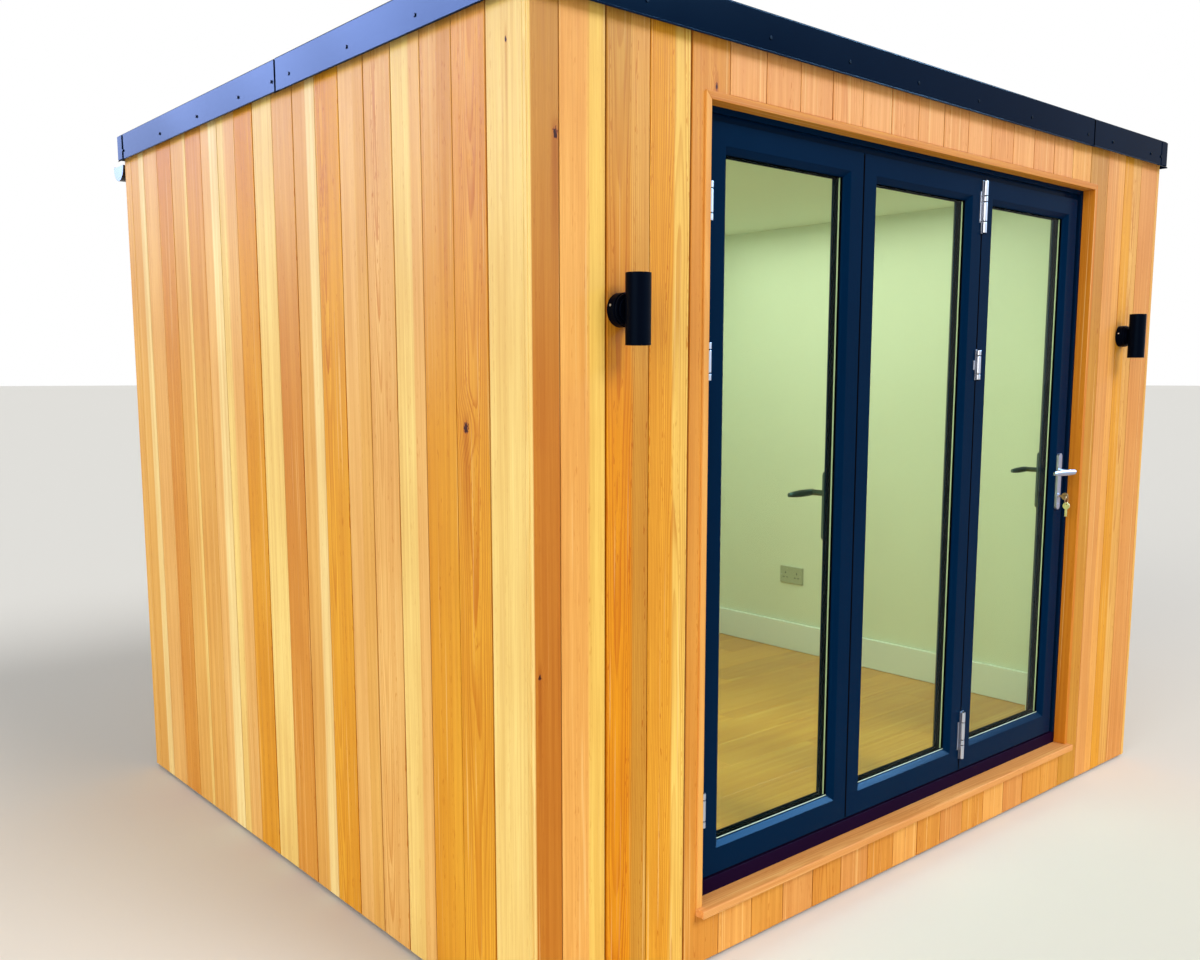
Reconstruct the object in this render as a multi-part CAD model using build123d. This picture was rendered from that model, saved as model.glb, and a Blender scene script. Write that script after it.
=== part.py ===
from build123d import *
import os

# Garden office pod with a cedar-clad box, a three-leaf folding door set and a flat roof.
# Lengths are millimetres. The row's origin is the centre of the footprint on the ground,
# +X runs along the front to its right end, +Y goes from the front to the back, +Z is up.
# Inside this file every place is first counted from the front left corner of the cladding.

# Overall size
WIDTH = 3120.0
DEPTH = 2550.0
TRIM_TOP = 2500.0
TRIM_FACE_HEIGHT = 98.0

# Wall build-up, from the outside in
BOARD = 20.0
PLASTER = 12.0
WALL = 160.0

# Base and floor
JOIST_HEIGHT = 142.0
BEARER = 50.0
JOIST_COUNT = 9
DECK = 18.0
FLOOR = 12.0
CLADDING_GROUND_GAP = 10.0

# Roof, counted down from the top of its trim
ROOF_DEPTH = 160.0
CEILING = 12.0
EDGE_OVERHANG = 13.0
TRIM_LAP = 18.0
TRIM_RISE = 6.0
KERB_UPSTAND = 20.0
ROOF_FALL = 42.0
MEMBRANE = 3.0

# Roof trim
TRIM_SHEET = 3.0
TRIM_FLANGE = 44.0
TRIM_ROLL = 5.0
ROLL_CROWN = 1.0
DRIP_KICK = 6.0
REAR_FLANGE = 60.0
CAP_LEG = 46.0
CAP_SHEET = 2.0
MITRE_REACH = 120.0

# Rear gutter and its brackets
GUTTER_RADIUS = 56.0
GUTTER_SHEET = 3.0
GUTTER_DROP = 10.0
GUTTER_OFF_WALL = 2.0
GUTTER_END = 6.0
BRACKET_SHARES = (0.04, 0.35, 0.65, 0.96)
BRACKET_WIDTH = 24.0
BRACKET_THICKNESS = 6.0
BRACKET_BELOW = 60.0
BRACKET_ABOVE = 8.0

# Doorway, counted to the inner faces of the cedar lining
DOOR_LEFT = 562.0
DOOR_WIDTH = 2020.0
HEAD_DROP = 80.0
LINING = 20.0
LINING_PROUD = 5.0
FRAME_FRONT = 40.0
FRAME_BACK = 110.0
SILL_NOSE = 24.0
SILL_THICKNESS = 22.0
SILL_EASE = 3.0

# Fixed door frame: nib beside the lining, rebate behind the hinges
FRAME_NIB = 14.0
FRAME_MEMBER = 38.0
REBATE_DEPTH = 15.0
THRESHOLD = 42.0

# Folding leaves
LEAF_COUNT = 3
LEAF_GAP = 4.0
LEAF_DEPTH = 68.0
LEAF_SIDE_GAP = 40.0
LEAF_HEAD_GAP = 34.0
LEAF_FOOT_GAP = 8.0
STILE_FACE = 59.0
TOP_RAIL_FACE = 57.0
BOTTOM_RAIL_FACE = 72.0
BEAD_WIDTH = 18.0
BEAD_DEPTH = 15.0

# Double glazing
PANE = 4.0
CAVITY = 16.0
GLASS_SETBACK = 20.0
GLASS_EDGE = 12.0
SPACER = 8.0

# Hinges
BARREL_RADIUS = 8.0
PIN_RADIUS = 6.5
BARREL_FRONT = 31.0
BARREL_OFF_LEAF = 5.0
KNUCKLE_GAP = 1.2
HINGE_HEIGHT = 100.0
HINGE_FROM_END = 200.0
HINGE_SHARE = 0.7
HINGE_BLADE = 3.0
INNER_BLADE_WIDTH = 44.0
OUTER_BLADE_WIDTH = 30.0
CARRIER_KNUCKLES = (38.0, 62.0, 19.0, 50.0)
CARRIER_FROM_TOP = 5.0
CARRIER_FROM_FOOT = 42.0

# Handles and lock
HANDLE_FROM_EDGE = 43.0
LEVER_HEIGHT = 1236.0
PLATE_BELOW = 143.0
PLATE_ABOVE = 67.0
PLATE_WIDTH = 26.0
PLATE_THICKNESS = 9.0
NECK_RADIUS = 9.0
LEVER_REACH = 50.0
LEVER_LENGTH = 128.0
LEVER_HEEL = 8.0
LEVER_RETURN = 10.0
LEVER_STATIONS = ((0.0, 9.0, 9.5), (0.3, 8.0, 11.0), (0.7, 6.5, 10.0), (1.0, 4.5, 6.5))
CYLINDER_DROP = 92.0
CYLINDER_RADIUS = 8.5
CYLINDER_PROUD = 3.0
SEAT = 2.0

# Keys
KEY_SHEET = 2.5
KEY_BOW = 13.0
KEY_HOLE = 3.2
KEY_RIM = 2.5
KEY_NECK = 8.0
KEY_SHANK = 8.0
KEY_BLADE = 26.0
KEY_RING = 12.0
KEY_WIRE = 1.3
RING_SEAT = 0.1

# Wall lights: each step of the rose runs from one distance off the wall to another
LIGHT_FROM_CORNER = 262.0
LIGHT_MIDDLE = 1740.0
LIGHT_RADIUS = 30.0
LIGHT_HEIGHT = 164.0
LIGHT_STANDOFF = 65.0
LIGHT_WALL = 3.0
LIGHT_RECESS = 8.0
LIGHT_ARM_RADIUS = 11.0
ROSE_STEPS = ((0.0, 10.0, 40.0), (10.0, 14.0, 35.0), (14.0, 18.0, 27.0))

# Fittings inside
SKIRTING_HEIGHT = 145.0
SKIRTING = 15.0
SOCKET_FROM_FRONT = 1661.0
SOCKET_MIDDLE = 566.0
SOCKET_WIDTH = 146.0
SOCKET_HEIGHT = 86.0
SOCKET_DEPTH = 9.0
SOCKET_EASE = 2.0
ROCKER_OFFSET = 24.0
ROCKER_WIDTH = 11.0
ROCKER_HEIGHT = 18.0
ROCKER_PROUD = 2.0

# Values that follow
PANEL_IN = WALL - PLASTER
DECK_TOP = JOIST_HEIGHT + DECK
FLOOR_TOP = DECK_TOP + FLOOR
TRIM_BOTTOM = TRIM_TOP - TRIM_FACE_HEIGHT
TRIM_FACE = EDGE_OVERHANG + TRIM_SHEET
CLADDING_TOP = TRIM_BOTTOM + TRIM_LAP
ROOF_UNDERSIDE = TRIM_TOP - ROOF_DEPTH
CEILING_FACE = ROOF_UNDERSIDE - CEILING
KERB_TOP = TRIM_TOP - TRIM_RISE
DECK_HIGH = KERB_TOP - KERB_UPSTAND
ROOF_BACK = DEPTH + EDGE_OVERHANG
GUTTER_TOP = TRIM_BOTTOM - GUTTER_DROP
DOOR_RIGHT = DOOR_LEFT + DOOR_WIDTH
DOOR_HEAD = ROOF_UNDERSIDE - HEAD_DROP
OPENING_LEFT = DOOR_LEFT - LINING
OPENING_RIGHT = DOOR_RIGHT + LINING
OPENING_HEAD = DOOR_HEAD + LINING
SILL_BOTTOM = FLOOR_TOP - SILL_THICKNESS
THRESHOLD_TOP = FLOOR_TOP + THRESHOLD
LEAF_BOTTOM = THRESHOLD_TOP + LEAF_FOOT_GAP
LEAF_TOP = DOOR_HEAD - LEAF_HEAD_GAP
LEAF_BACK = FRAME_FRONT + LEAF_DEPTH
LEAF_ZONE = DOOR_WIDTH - 2 * LEAF_SIDE_GAP
LEAF_WIDTH = (LEAF_ZONE - (LEAF_COUNT - 1) * LEAF_GAP) / LEAF_COUNT
GLASS_FRONT = FRAME_FRONT + GLASS_SETBACK
REBATE_FLOOR = FRAME_FRONT + REBATE_DEPTH
PARTS = "parts"


def at(x, y, z):
    """Place counted from the front left ground corner, given in the row's frame."""
    return Vector(x - WIDTH / 2, y - DEPTH / 2, z)


def block(x0, x1, y0, y1, z0, z1):
    """Box between two corners."""
    middle = at((x0 + x1) / 2, (y0 + y1) / 2, (z0 + z1) / 2)
    return Pos(middle) * Box(x1 - x0, y1 - y0, z1 - z0)


def upright(x, y, z0, z1, radius):
    """Standing cylinder between two heights."""
    return Pos(at(x, y, (z0 + z1) / 2)) * Cylinder(radius, z1 - z0)


def rod(x, z, y0, y1, radius):
    """Cylinder that runs from front to back."""
    return Pos(at(x, (y0 + y1) / 2, z)) * Rot(X=90) * Cylinder(radius, y1 - y0)


def cross_rod(x0, x1, y, z, radius):
    """Cylinder that runs from left to right."""
    return Pos(at((x0 + x1) / 2, y, z)) * Rot(Y=90) * Cylinder(radius, x1 - x0)


def prism_along_x(points, x0, x1):
    """Outline given as (y, z) pairs, drawn out from x0 to x1."""
    face = make_face(Polyline(*[at(x0, y, z) for y, z in points], close=True))
    return extrude(face, amount=x1 - x0, dir=(1, 0, 0))


def prism_along_y(points, y0, y1):
    """Outline given as (x, z) pairs, drawn out from y0 to y1."""
    face = make_face(Polyline(*[at(x, y0, z) for x, z in points], close=True))
    return extrude(face, amount=y1 - y0, dir=(0, 1, 0))


def joined(solids):
    """Solids that touch, made one."""
    whole = solids[0]
    for solid in solids[1:]:
        whole = whole + solid
    return whole


def save(name, shape):
    """Write one named piece of the building."""
    shape.label = name
    export_step(shape, os.path.join(PARTS, name + ".step"))


def loose(solids):
    """Solids of one kind that stand apart from each other."""
    return Compound(children=[part for solid in solids for part in solid.solids()])


# Base and floor
def base_frame():
    """Bearers on edge round the footprint, joists between them and the deck on top."""
    left, right = BOARD, WIDTH - BOARD
    front, back = BOARD, DEPTH - BOARD
    joist_front, joist_back = front + BEARER, back - BEARER
    ring = block(left, right, front, back, 0, JOIST_HEIGHT)
    ring -= block(left + BEARER, right - BEARER, joist_front, joist_back, 0, JOIST_HEIGHT)
    pieces = [ring]
    pitch = (right - left - BEARER) / (JOIST_COUNT + 1)
    for number in range(1, JOIST_COUNT + 1):
        start = left + number * pitch
        pieces.append(block(start, start + BEARER, joist_front, joist_back, 0, JOIST_HEIGHT))
    pieces.append(block(left, right, front, back, JOIST_HEIGHT, DECK_TOP))
    sill_seat = block(OPENING_LEFT, OPENING_RIGHT, front, FRAME_FRONT, SILL_BOTTOM, DECK_TOP)
    return joined(pieces) - sill_seat


def floor_boards():
    """Floor finish between the walls and up to the door frame."""
    room = block(WALL, WIDTH - WALL, WALL, DEPTH - WALL, DECK_TOP, FLOOR_TOP)
    doorway = block(OPENING_LEFT, OPENING_RIGHT, FRAME_BACK, WALL, DECK_TOP, FLOOR_TOP)
    return room + doorway


# Walls and their plaster
def wall_panels():
    """Insulated panels, the front one split beside and over the doorway."""
    inner_left, inner_right = PANEL_IN, WIDTH - PANEL_IN
    low, high = DECK_TOP, ROOF_UNDERSIDE
    return {
        "front_wall_left": block(inner_left, OPENING_LEFT, BOARD, PANEL_IN, low, high),
        "front_wall_right": block(OPENING_RIGHT, inner_right, BOARD, PANEL_IN, low, high),
        "front_wall_head": block(OPENING_LEFT, OPENING_RIGHT, BOARD, PANEL_IN, OPENING_HEAD, high),
        "left_wall": block(BOARD, PANEL_IN, BOARD, DEPTH - BOARD, low, high),
        "right_wall": block(inner_right, WIDTH - BOARD, BOARD, DEPTH - BOARD, low, high),
        "back_wall": block(inner_left, inner_right, DEPTH - PANEL_IN, DEPTH - BOARD, low, high),
    }


def plaster_linings():
    """Painted board on the room side of each wall, open at the doorway."""
    low, high = DECK_TOP, CEILING_FACE
    right_face = WIDTH - WALL
    front = block(WALL, right_face, PANEL_IN, WALL, low, high)
    front -= block(OPENING_LEFT, OPENING_RIGHT, PANEL_IN, WALL, low, OPENING_HEAD)
    return {
        "front_plaster": front,
        "left_plaster": block(PANEL_IN, WALL, PANEL_IN, DEPTH - PANEL_IN, low, high),
        "right_plaster": block(right_face, WIDTH - PANEL_IN, PANEL_IN, DEPTH - PANEL_IN, low, high),
        "back_plaster": block(WALL, right_face, DEPTH - WALL, DEPTH - PANEL_IN, low, high),
    }


# Cedar cladding: each wall's boards lap the end of the next one's
def claddings():
    """Plain slabs of cladding, with the doorway left open on the front."""
    low, high = CLADDING_GROUND_GAP, CLADDING_TOP
    return {
        "front_cladding_left": block(0, OPENING_LEFT, 0, BOARD, low, high),
        "front_cladding_right": block(OPENING_RIGHT, WIDTH - BOARD, 0, BOARD, low, high),
        "front_cladding_head": block(OPENING_LEFT, OPENING_RIGHT, 0, BOARD, OPENING_HEAD, high),
        "front_cladding_low": block(OPENING_LEFT, OPENING_RIGHT, 0, BOARD, low, SILL_BOTTOM),
        "left_cladding": block(0, BOARD, BOARD, DEPTH, low, high),
        "right_cladding": block(WIDTH - BOARD, WIDTH, 0, DEPTH - BOARD, low, high),
        "back_cladding": block(BOARD, WIDTH, DEPTH - BOARD, DEPTH, low, high),
    }


# Doorway trim in cedar
def door_lining():
    """Two uprights and a head board, a little proud of the cladding."""
    front, back = -LINING_PROUD, FRAME_FRONT
    outer = block(OPENING_LEFT, OPENING_RIGHT, front, back, FLOOR_TOP, OPENING_HEAD)
    return outer - block(DOOR_LEFT, DOOR_RIGHT, front, back, FLOOR_TOP, DOOR_HEAD)


def door_sill():
    """Flat board under the frame with its nose eased along the upper edge."""
    nose = -LINING_PROUD - SILL_NOSE
    outline = [
        (FRAME_FRONT, SILL_BOTTOM), (nose, SILL_BOTTOM), (nose, FLOOR_TOP - SILL_EASE),
        (nose + SILL_EASE, FLOOR_TOP), (FRAME_FRONT, FLOOR_TOP),
    ]
    return prism_along_x(outline, OPENING_LEFT, OPENING_RIGHT)


# Fixed frame of the doors
def door_frame():
    """Ring with a stepped front: the nib stands forward and the hinges sit in the step."""
    ring = block(OPENING_LEFT, OPENING_RIGHT, FRAME_FRONT, FRAME_BACK, DECK_TOP, OPENING_HEAD)
    left, right = DOOR_LEFT + FRAME_MEMBER, DOOR_RIGHT - FRAME_MEMBER
    ring -= block(left, right, FRAME_FRONT, FRAME_BACK, THRESHOLD_TOP, LEAF_TOP + LEAF_GAP)
    left, right = DOOR_LEFT + FRAME_NIB, DOOR_RIGHT - FRAME_NIB
    top = DOOR_HEAD - FRAME_NIB
    return ring - block(left, right, FRAME_FRONT, REBATE_FLOOR, THRESHOLD_TOP, top)


# Folding leaves
def leaf_left(number):
    """Left edge of a leaf, counted from the hinged jamb."""
    return DOOR_LEFT + LEAF_SIDE_GAP + number * (LEAF_WIDTH + LEAF_GAP)


def sight_opening(number, grow):
    """Sides of the leaf's window: left, right, bottom, top."""
    inset = BEAD_WIDTH - grow
    left = leaf_left(number)
    return (
        left + STILE_FACE + inset, left + LEAF_WIDTH - STILE_FACE - inset,
        LEAF_BOTTOM + BOTTOM_RAIL_FACE + inset, LEAF_TOP - TOP_RAIL_FACE - inset,
    )


def bead_slope(number, face_y, foot_y):
    """Funnel between the leaf's face and the foot of its glazing bead."""
    outlines = []
    for y, grow in ((face_y, BEAD_WIDTH), (foot_y, 0.0)):
        left, right, low, high = sight_opening(number, grow)
        corners = [at(left, y, low), at(right, y, low), at(right, y, high), at(left, y, high)]
        outlines.append(make_face(Polyline(*corners, close=True)))
    return loft(outlines)


def door_leaf(number):
    """Leaf with a bevelled bead on both faces and a channel that holds the glazing."""
    left = leaf_left(number)
    leaf = block(left, left + LEAF_WIDTH, FRAME_FRONT, LEAF_BACK, LEAF_BOTTOM, LEAF_TOP)
    sight_left, sight_right, low, high = sight_opening(number, 0.0)
    leaf -= block(sight_left, sight_right, FRAME_FRONT, LEAF_BACK, low, high)
    leaf -= bead_slope(number, FRAME_FRONT, FRAME_FRONT + BEAD_DEPTH)
    leaf -= bead_slope(number, LEAF_BACK, LEAF_BACK - BEAD_DEPTH)
    leaf -= glass_block(number, GLASS_FRONT, GLASS_FRONT + 2 * PANE + CAVITY)
    return leaf


def glass_block(number, y0, y1):
    """Slab as wide and high as the glazing, which reaches into the leaf's channel."""
    left, right, low, high = sight_opening(number, 0.0)
    edge = GLASS_EDGE
    return block(left - edge, right + edge, y0, y1, low - edge, high + edge)


def door_glass(number):
    """Outer and inner pane of one leaf."""
    inner = GLASS_FRONT + PANE + CAVITY
    return loose([
        glass_block(number, GLASS_FRONT, GLASS_FRONT + PANE),
        glass_block(number, inner, inner + PANE),
    ])


def glass_spacers():
    """Bar that keeps the panes apart, flush with the foot of the bead."""
    bars = []
    front, back = GLASS_FRONT + PANE, GLASS_FRONT + PANE + CAVITY
    for number in range(LEAF_COUNT):
        left, right, low, high = sight_opening(number, 0.0)
        outer = block(left - SPACER, right + SPACER, front, back, low - SPACER, high + SPACER)
        bars.append(outer - block(left, right, front, back, low, high))
    return loose(bars)


# Hinges
def knuckles(x, y, bottom, lengths):
    """Barrel of stacked knuckles with a thin gap between neighbours, on one pin."""
    pieces = [upright(x, y, bottom, bottom + sum(lengths), PIN_RADIUS)]
    start = bottom
    for length in lengths:
        low, high = start + KNUCKLE_GAP / 2, start + length - KNUCKLE_GAP / 2
        pieces.append(upright(x, y, low, high, BARREL_RADIUS))
        start += length
    return joined(pieces)


def standard_hinges():
    """Foot heights of the three plain hinges and the lengths of their knuckles."""
    middles = (
        LEAF_BOTTOM + HINGE_FROM_END,
        LEAF_BOTTOM + HINGE_SHARE * (LEAF_TOP - LEAF_BOTTOM),
        LEAF_TOP - HINGE_FROM_END,
    )
    end_knuckle = HINGE_HEIGHT / 5
    lengths = (end_knuckle, HINGE_HEIGHT - 2 * end_knuckle, end_knuckle)
    return [middle - HINGE_HEIGHT / 2 for middle in middles], lengths


def door_hinges():
    """Jamb hinges, inner hinges between leaves 1 and 2, and outer ones between 2 and 3."""
    jamb_x = leaf_left(0) - BARREL_OFF_LEAF
    inner_x = leaf_left(1) - LEAF_GAP / 2
    outer_x = leaf_left(2) - LEAF_GAP / 2
    inner_y = LEAF_BACK + FRAME_FRONT - BARREL_FRONT
    feet, standard = standard_hinges()
    hinges = []
    for low in feet:
        high = low + HINGE_HEIGHT
        web_left = jamb_x - HINGE_BLADE
        web = block(web_left, leaf_left(0), BARREL_FRONT, REBATE_FLOOR, low, high)
        hinges.append(knuckles(jamb_x, BARREL_FRONT, low, standard) + web)
        half = INNER_BLADE_WIDTH / 2
        back = LEAF_BACK + HINGE_BLADE
        blade = block(inner_x - half, inner_x + half, LEAF_BACK, back, low, high)
        hinges.append(knuckles(inner_x, inner_y, low, standard) + blade)
    half = OUTER_BLADE_WIDTH / 2
    front = FRAME_FRONT - HINGE_BLADE
    top_carrier = LEAF_TOP - CARRIER_FROM_TOP - sum(CARRIER_KNUCKLES)
    runs = [
        (LEAF_BOTTOM + CARRIER_FROM_FOOT, CARRIER_KNUCKLES[::-1]),
        (feet[1], standard),
        (top_carrier, CARRIER_KNUCKLES),
    ]
    for low, lengths in runs:
        high = low + sum(lengths)
        blade = block(outer_x - half, outer_x + half, front, FRAME_FRONT, low, high)
        hinges.append(knuckles(outer_x, BARREL_FRONT, low, lengths) + blade)
    return loose(hinges)


# Handles, lock and keys
def handle_plate(x, y_face, outward):
    """Long plate with round ends, standing off a leaf's face."""
    y0, y1 = sorted((y_face, y_face + outward * PLATE_THICKNESS))
    radius = PLATE_WIDTH / 2
    low, high = LEVER_HEIGHT - PLATE_BELOW + radius, LEVER_HEIGHT + PLATE_ABOVE - radius
    ends = [rod(x, z, y0, y1, radius) for z in (low, high)]
    return joined([block(x - radius, x + radius, y0, y1, low, high)] + ends)


def lever(x, y_face, outward):
    """Neck that comes out of the plate and a lever that tapers towards the hinged side."""
    plate_y = y_face + outward * PLATE_THICKNESS
    grip_y = plate_y + outward * LEVER_REACH
    y0, y1 = sorted((plate_y - outward * SEAT, grip_y))
    neck = rod(x, LEVER_HEIGHT, y0, y1, NECK_RADIUS)
    sections = []
    for share, half_y, half_z in LEVER_STATIONS:
        lever_x = x + LEVER_HEEL - share * LEVER_LENGTH
        lever_y = grip_y - outward * share * LEVER_RETURN
        place = at(lever_x, lever_y, LEVER_HEIGHT)
        plane = Plane(origin=place, x_dir=(0, 1, 0), z_dir=(-1, 0, 0))
        sections.append(plane * Ellipse(half_y, half_z))
    return neck + loft(sections)


def cylinder_end(x, y_face, outward):
    """End of the lock's cylinder in the plate."""
    seat_y = y_face + outward * (PLATE_THICKNESS - SEAT)
    end_y = y_face + outward * (PLATE_THICKNESS + CYLINDER_PROUD)
    y0, y1 = sorted((seat_y, end_y))
    return rod(x, LEVER_HEIGHT - CYLINDER_DROP, y0, y1, CYLINDER_RADIUS)


def handle_set(number, y_face, outward, with_lock):
    """Plate and lever near a leaf's right edge, with the lock's end where there is one."""
    x = leaf_left(number) + LEAF_WIDTH - HANDLE_FROM_EDGE
    parts = [handle_plate(x, y_face, outward), lever(x, y_face, outward)]
    if with_lock:
        parts.append(cylinder_end(x, y_face, outward))
    return joined(parts)


def key_disc(x, y, z, radius, thickness):
    """Disc that stands from front to back, as the round ends of the keys do."""
    return cross_rod(x - thickness / 2, x + thickness / 2, y, z, radius)


def lock_keys():
    """Key in the outside cylinder, a split ring through its bow and a second key on the ring."""
    half = KEY_SHEET / 2
    x = leaf_left(LEAF_COUNT - 1) + LEAF_WIDTH - HANDLE_FROM_EDGE
    z = LEVER_HEIGHT - CYLINDER_DROP
    face = FRAME_FRONT - PLATE_THICKNESS - CYLINDER_PROUD
    bow_y = face - KEY_NECK - KEY_BOW
    hole_y = bow_y - KEY_BOW + KEY_HOLE + KEY_RIM
    shank = block(x - half, x + half, bow_y, face, z - KEY_SHANK / 2, z + KEY_SHANK / 2)
    first = key_disc(x, bow_y, z, KEY_BOW, KEY_SHEET) + shank
    first -= key_disc(x, hole_y, z, KEY_HOLE, 2 * KEY_SHEET)
    wire_z = z - KEY_HOLE + KEY_WIRE - RING_SEAT
    ring = Pos(at(x, hole_y, wire_z - KEY_RING)) * Rot(X=90) * Torus(KEY_RING, KEY_WIRE)
    low_hole_z = wire_z - 2 * KEY_RING - KEY_HOLE + KEY_WIRE - RING_SEAT
    low_z = low_hole_z - KEY_BOW + KEY_HOLE + KEY_RIM
    blade_front, blade_back = hole_y - KEY_SHANK / 2, hole_y + KEY_SHANK / 2
    blade_low = low_z - KEY_BOW - KEY_BLADE
    second = key_disc(x, hole_y, low_z, KEY_BOW, KEY_SHEET)
    second += block(x - half, x + half, blade_front, blade_back, blade_low, low_z)
    second -= key_disc(x, hole_y, low_hole_z, KEY_HOLE, 2 * KEY_SHEET)
    return joined([first, ring, second])


# Wall lights
def wall_light(x):
    """Tube with a shallow recess in both ends, on a short arm and a stepped round rose."""
    low, high = LIGHT_MIDDLE - LIGHT_HEIGHT / 2, LIGHT_MIDDLE + LIGHT_HEIGHT / 2
    tube_y = -LIGHT_STANDOFF
    tube = upright(x, tube_y, low, high, LIGHT_RADIUS)
    inner = LIGHT_RADIUS - LIGHT_WALL
    tube -= upright(x, tube_y, low, low + LIGHT_RECESS, inner)
    tube -= upright(x, tube_y, high - LIGHT_RECESS, high, inner)
    arm = rod(x, LIGHT_MIDDLE, tube_y, -ROSE_STEPS[-1][0], LIGHT_ARM_RADIUS)
    rose = [rod(x, LIGHT_MIDDLE, -end, -start, radius) for start, end, radius in ROSE_STEPS]
    return joined([tube, arm] + rose)


# Roof
def deck_height(y):
    """Height of the roof deck, which falls from the front to the back."""
    return DECK_HIGH - ROOF_FALL * (y + EDGE_OVERHANG) / (ROOF_BACK + EDGE_OVERHANG)


def roof_panel():
    """Insulated panel on the walls, its top falling to the back."""
    front, back = BOARD, DEPTH - BOARD
    outline = [
        (front, ROOF_UNDERSIDE), (back, ROOF_UNDERSIDE),
        (back, deck_height(back)), (front, deck_height(front)),
    ]
    return prism_along_x(outline, BOARD, WIDTH - BOARD)


def roof_edge():
    """Timber on the cladding round the panel: a kerb on three sides, lower at the back."""
    out, inner_back = EDGE_OVERHANG, DEPTH - BOARD
    ring = block(-out, WIDTH + out, -out, ROOF_BACK, CLADDING_TOP, KERB_TOP)
    ring -= block(BOARD, WIDTH - BOARD, BOARD, inner_back, CLADDING_TOP, KERB_TOP)
    over_back = [
        (inner_back, deck_height(inner_back)), (ROOF_BACK, deck_height(ROOF_BACK)),
        (ROOF_BACK, KERB_TOP), (inner_back, KERB_TOP),
    ]
    return ring - prism_along_x(over_back, BOARD, WIDTH - BOARD)


def roof_membrane():
    """Rubber sheet on the deck, turned up against the kerbs."""
    left, right = BOARD, WIDTH - BOARD
    front_deck, back_deck = deck_height(BOARD), deck_height(ROOF_BACK)
    sheet = [
        (BOARD, front_deck), (ROOF_BACK, back_deck),
        (ROOF_BACK, back_deck + MEMBRANE), (BOARD, front_deck + MEMBRANE),
    ]
    side = [(BOARD, front_deck), (ROOF_BACK, back_deck), (ROOF_BACK, KERB_TOP), (BOARD, KERB_TOP)]
    return joined([
        prism_along_x(sheet, left, right),
        block(left, right, BOARD, BOARD + MEMBRANE, front_deck, KERB_TOP),
        prism_along_x(side, left, left + MEMBRANE),
        prism_along_x(side, right - MEMBRANE, right),
    ])


def ceiling():
    """Painted board under the roof panel, inside the walls."""
    right, back = WIDTH - PANEL_IN, DEPTH - PANEL_IN
    return block(PANEL_IN, right, PANEL_IN, back, CEILING_FACE, ROOF_UNDERSIDE)


def trim_outline():
    """Section of the folded trim as (outward, height) pairs, outward counted from the wall."""
    inner, outer = EDGE_OVERHANG, TRIM_FACE
    flange_end, flange_top = outer - TRIM_FLANGE, KERB_TOP + TRIM_SHEET
    kick_top = TRIM_BOTTOM + DRIP_KICK
    return [
        (inner, KERB_TOP), (inner, kick_top), (inner + DRIP_KICK, TRIM_BOTTOM),
        (outer + DRIP_KICK, TRIM_BOTTOM), (outer, kick_top), (outer, TRIM_TOP - TRIM_ROLL),
        (outer - TRIM_ROLL / 2, TRIM_TOP - ROLL_CROWN), (outer - TRIM_ROLL, TRIM_TOP),
        (outer - 2 * TRIM_ROLL, TRIM_TOP - ROLL_CROWN), (outer - 2.5 * TRIM_ROLL, flange_top),
        (flange_end, flange_top), (flange_end, KERB_TOP),
    ]


def mitre_half(x, x_sign, beside):
    """Half of a front corner beside its diagonal: 1 on the side's part, -1 on the front's."""
    corner = at(x, 0, TRIM_BOTTOM - TRIM_RISE)
    out = Vector(x_sign * MITRE_REACH, -MITRE_REACH, 0)
    aside = Vector(x_sign * MITRE_REACH, MITRE_REACH, 0) * beside
    face = make_face(Polyline(corner - out, corner + out, corner + aside, close=True))
    return extrude(face, amount=TRIM_FACE_HEIGHT + 2 * TRIM_RISE, dir=(0, 0, 1))


def front_roof_trim():
    """Trim along the front, mitred where it meets the side trims."""
    reach = TRIM_FACE + DRIP_KICK
    points = [(-outward, height) for outward, height in trim_outline()]
    trim = prism_along_x(points, -reach, WIDTH + reach)
    return trim - mitre_half(0, -1, 1) - mitre_half(WIDTH, 1, 1)


def side_roof_trims():
    """Trims along both sides, mitred at the front and square at the back."""
    reach = TRIM_FACE + DRIP_KICK
    left_points = [(-outward, height) for outward, height in trim_outline()]
    right_points = [(WIDTH + outward, height) for outward, height in trim_outline()]
    left = prism_along_y(left_points, -reach, DEPTH + TRIM_FACE)
    right = prism_along_y(right_points, -reach, DEPTH + TRIM_FACE)
    return loose([left - mitre_half(0, -1, -1), right - mitre_half(WIDTH, 1, -1)])


def rear_roof_trim():
    """Low trim over the edge of the membrane that lets water into the gutter."""
    inner = ROOF_BACK - REAR_FLANGE
    low_top, high_top = deck_height(ROOF_BACK) + MEMBRANE, deck_height(inner) + MEMBRANE
    face = ROOF_BACK + TRIM_SHEET
    outline = [
        (ROOF_BACK, low_top), (inner, high_top), (inner, high_top + TRIM_SHEET),
        (face, low_top + TRIM_SHEET), (face, TRIM_BOTTOM), (ROOF_BACK, TRIM_BOTTOM),
    ]
    inset = BOARD + MEMBRANE
    return prism_along_x(outline, inset, WIDTH - inset)


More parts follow.
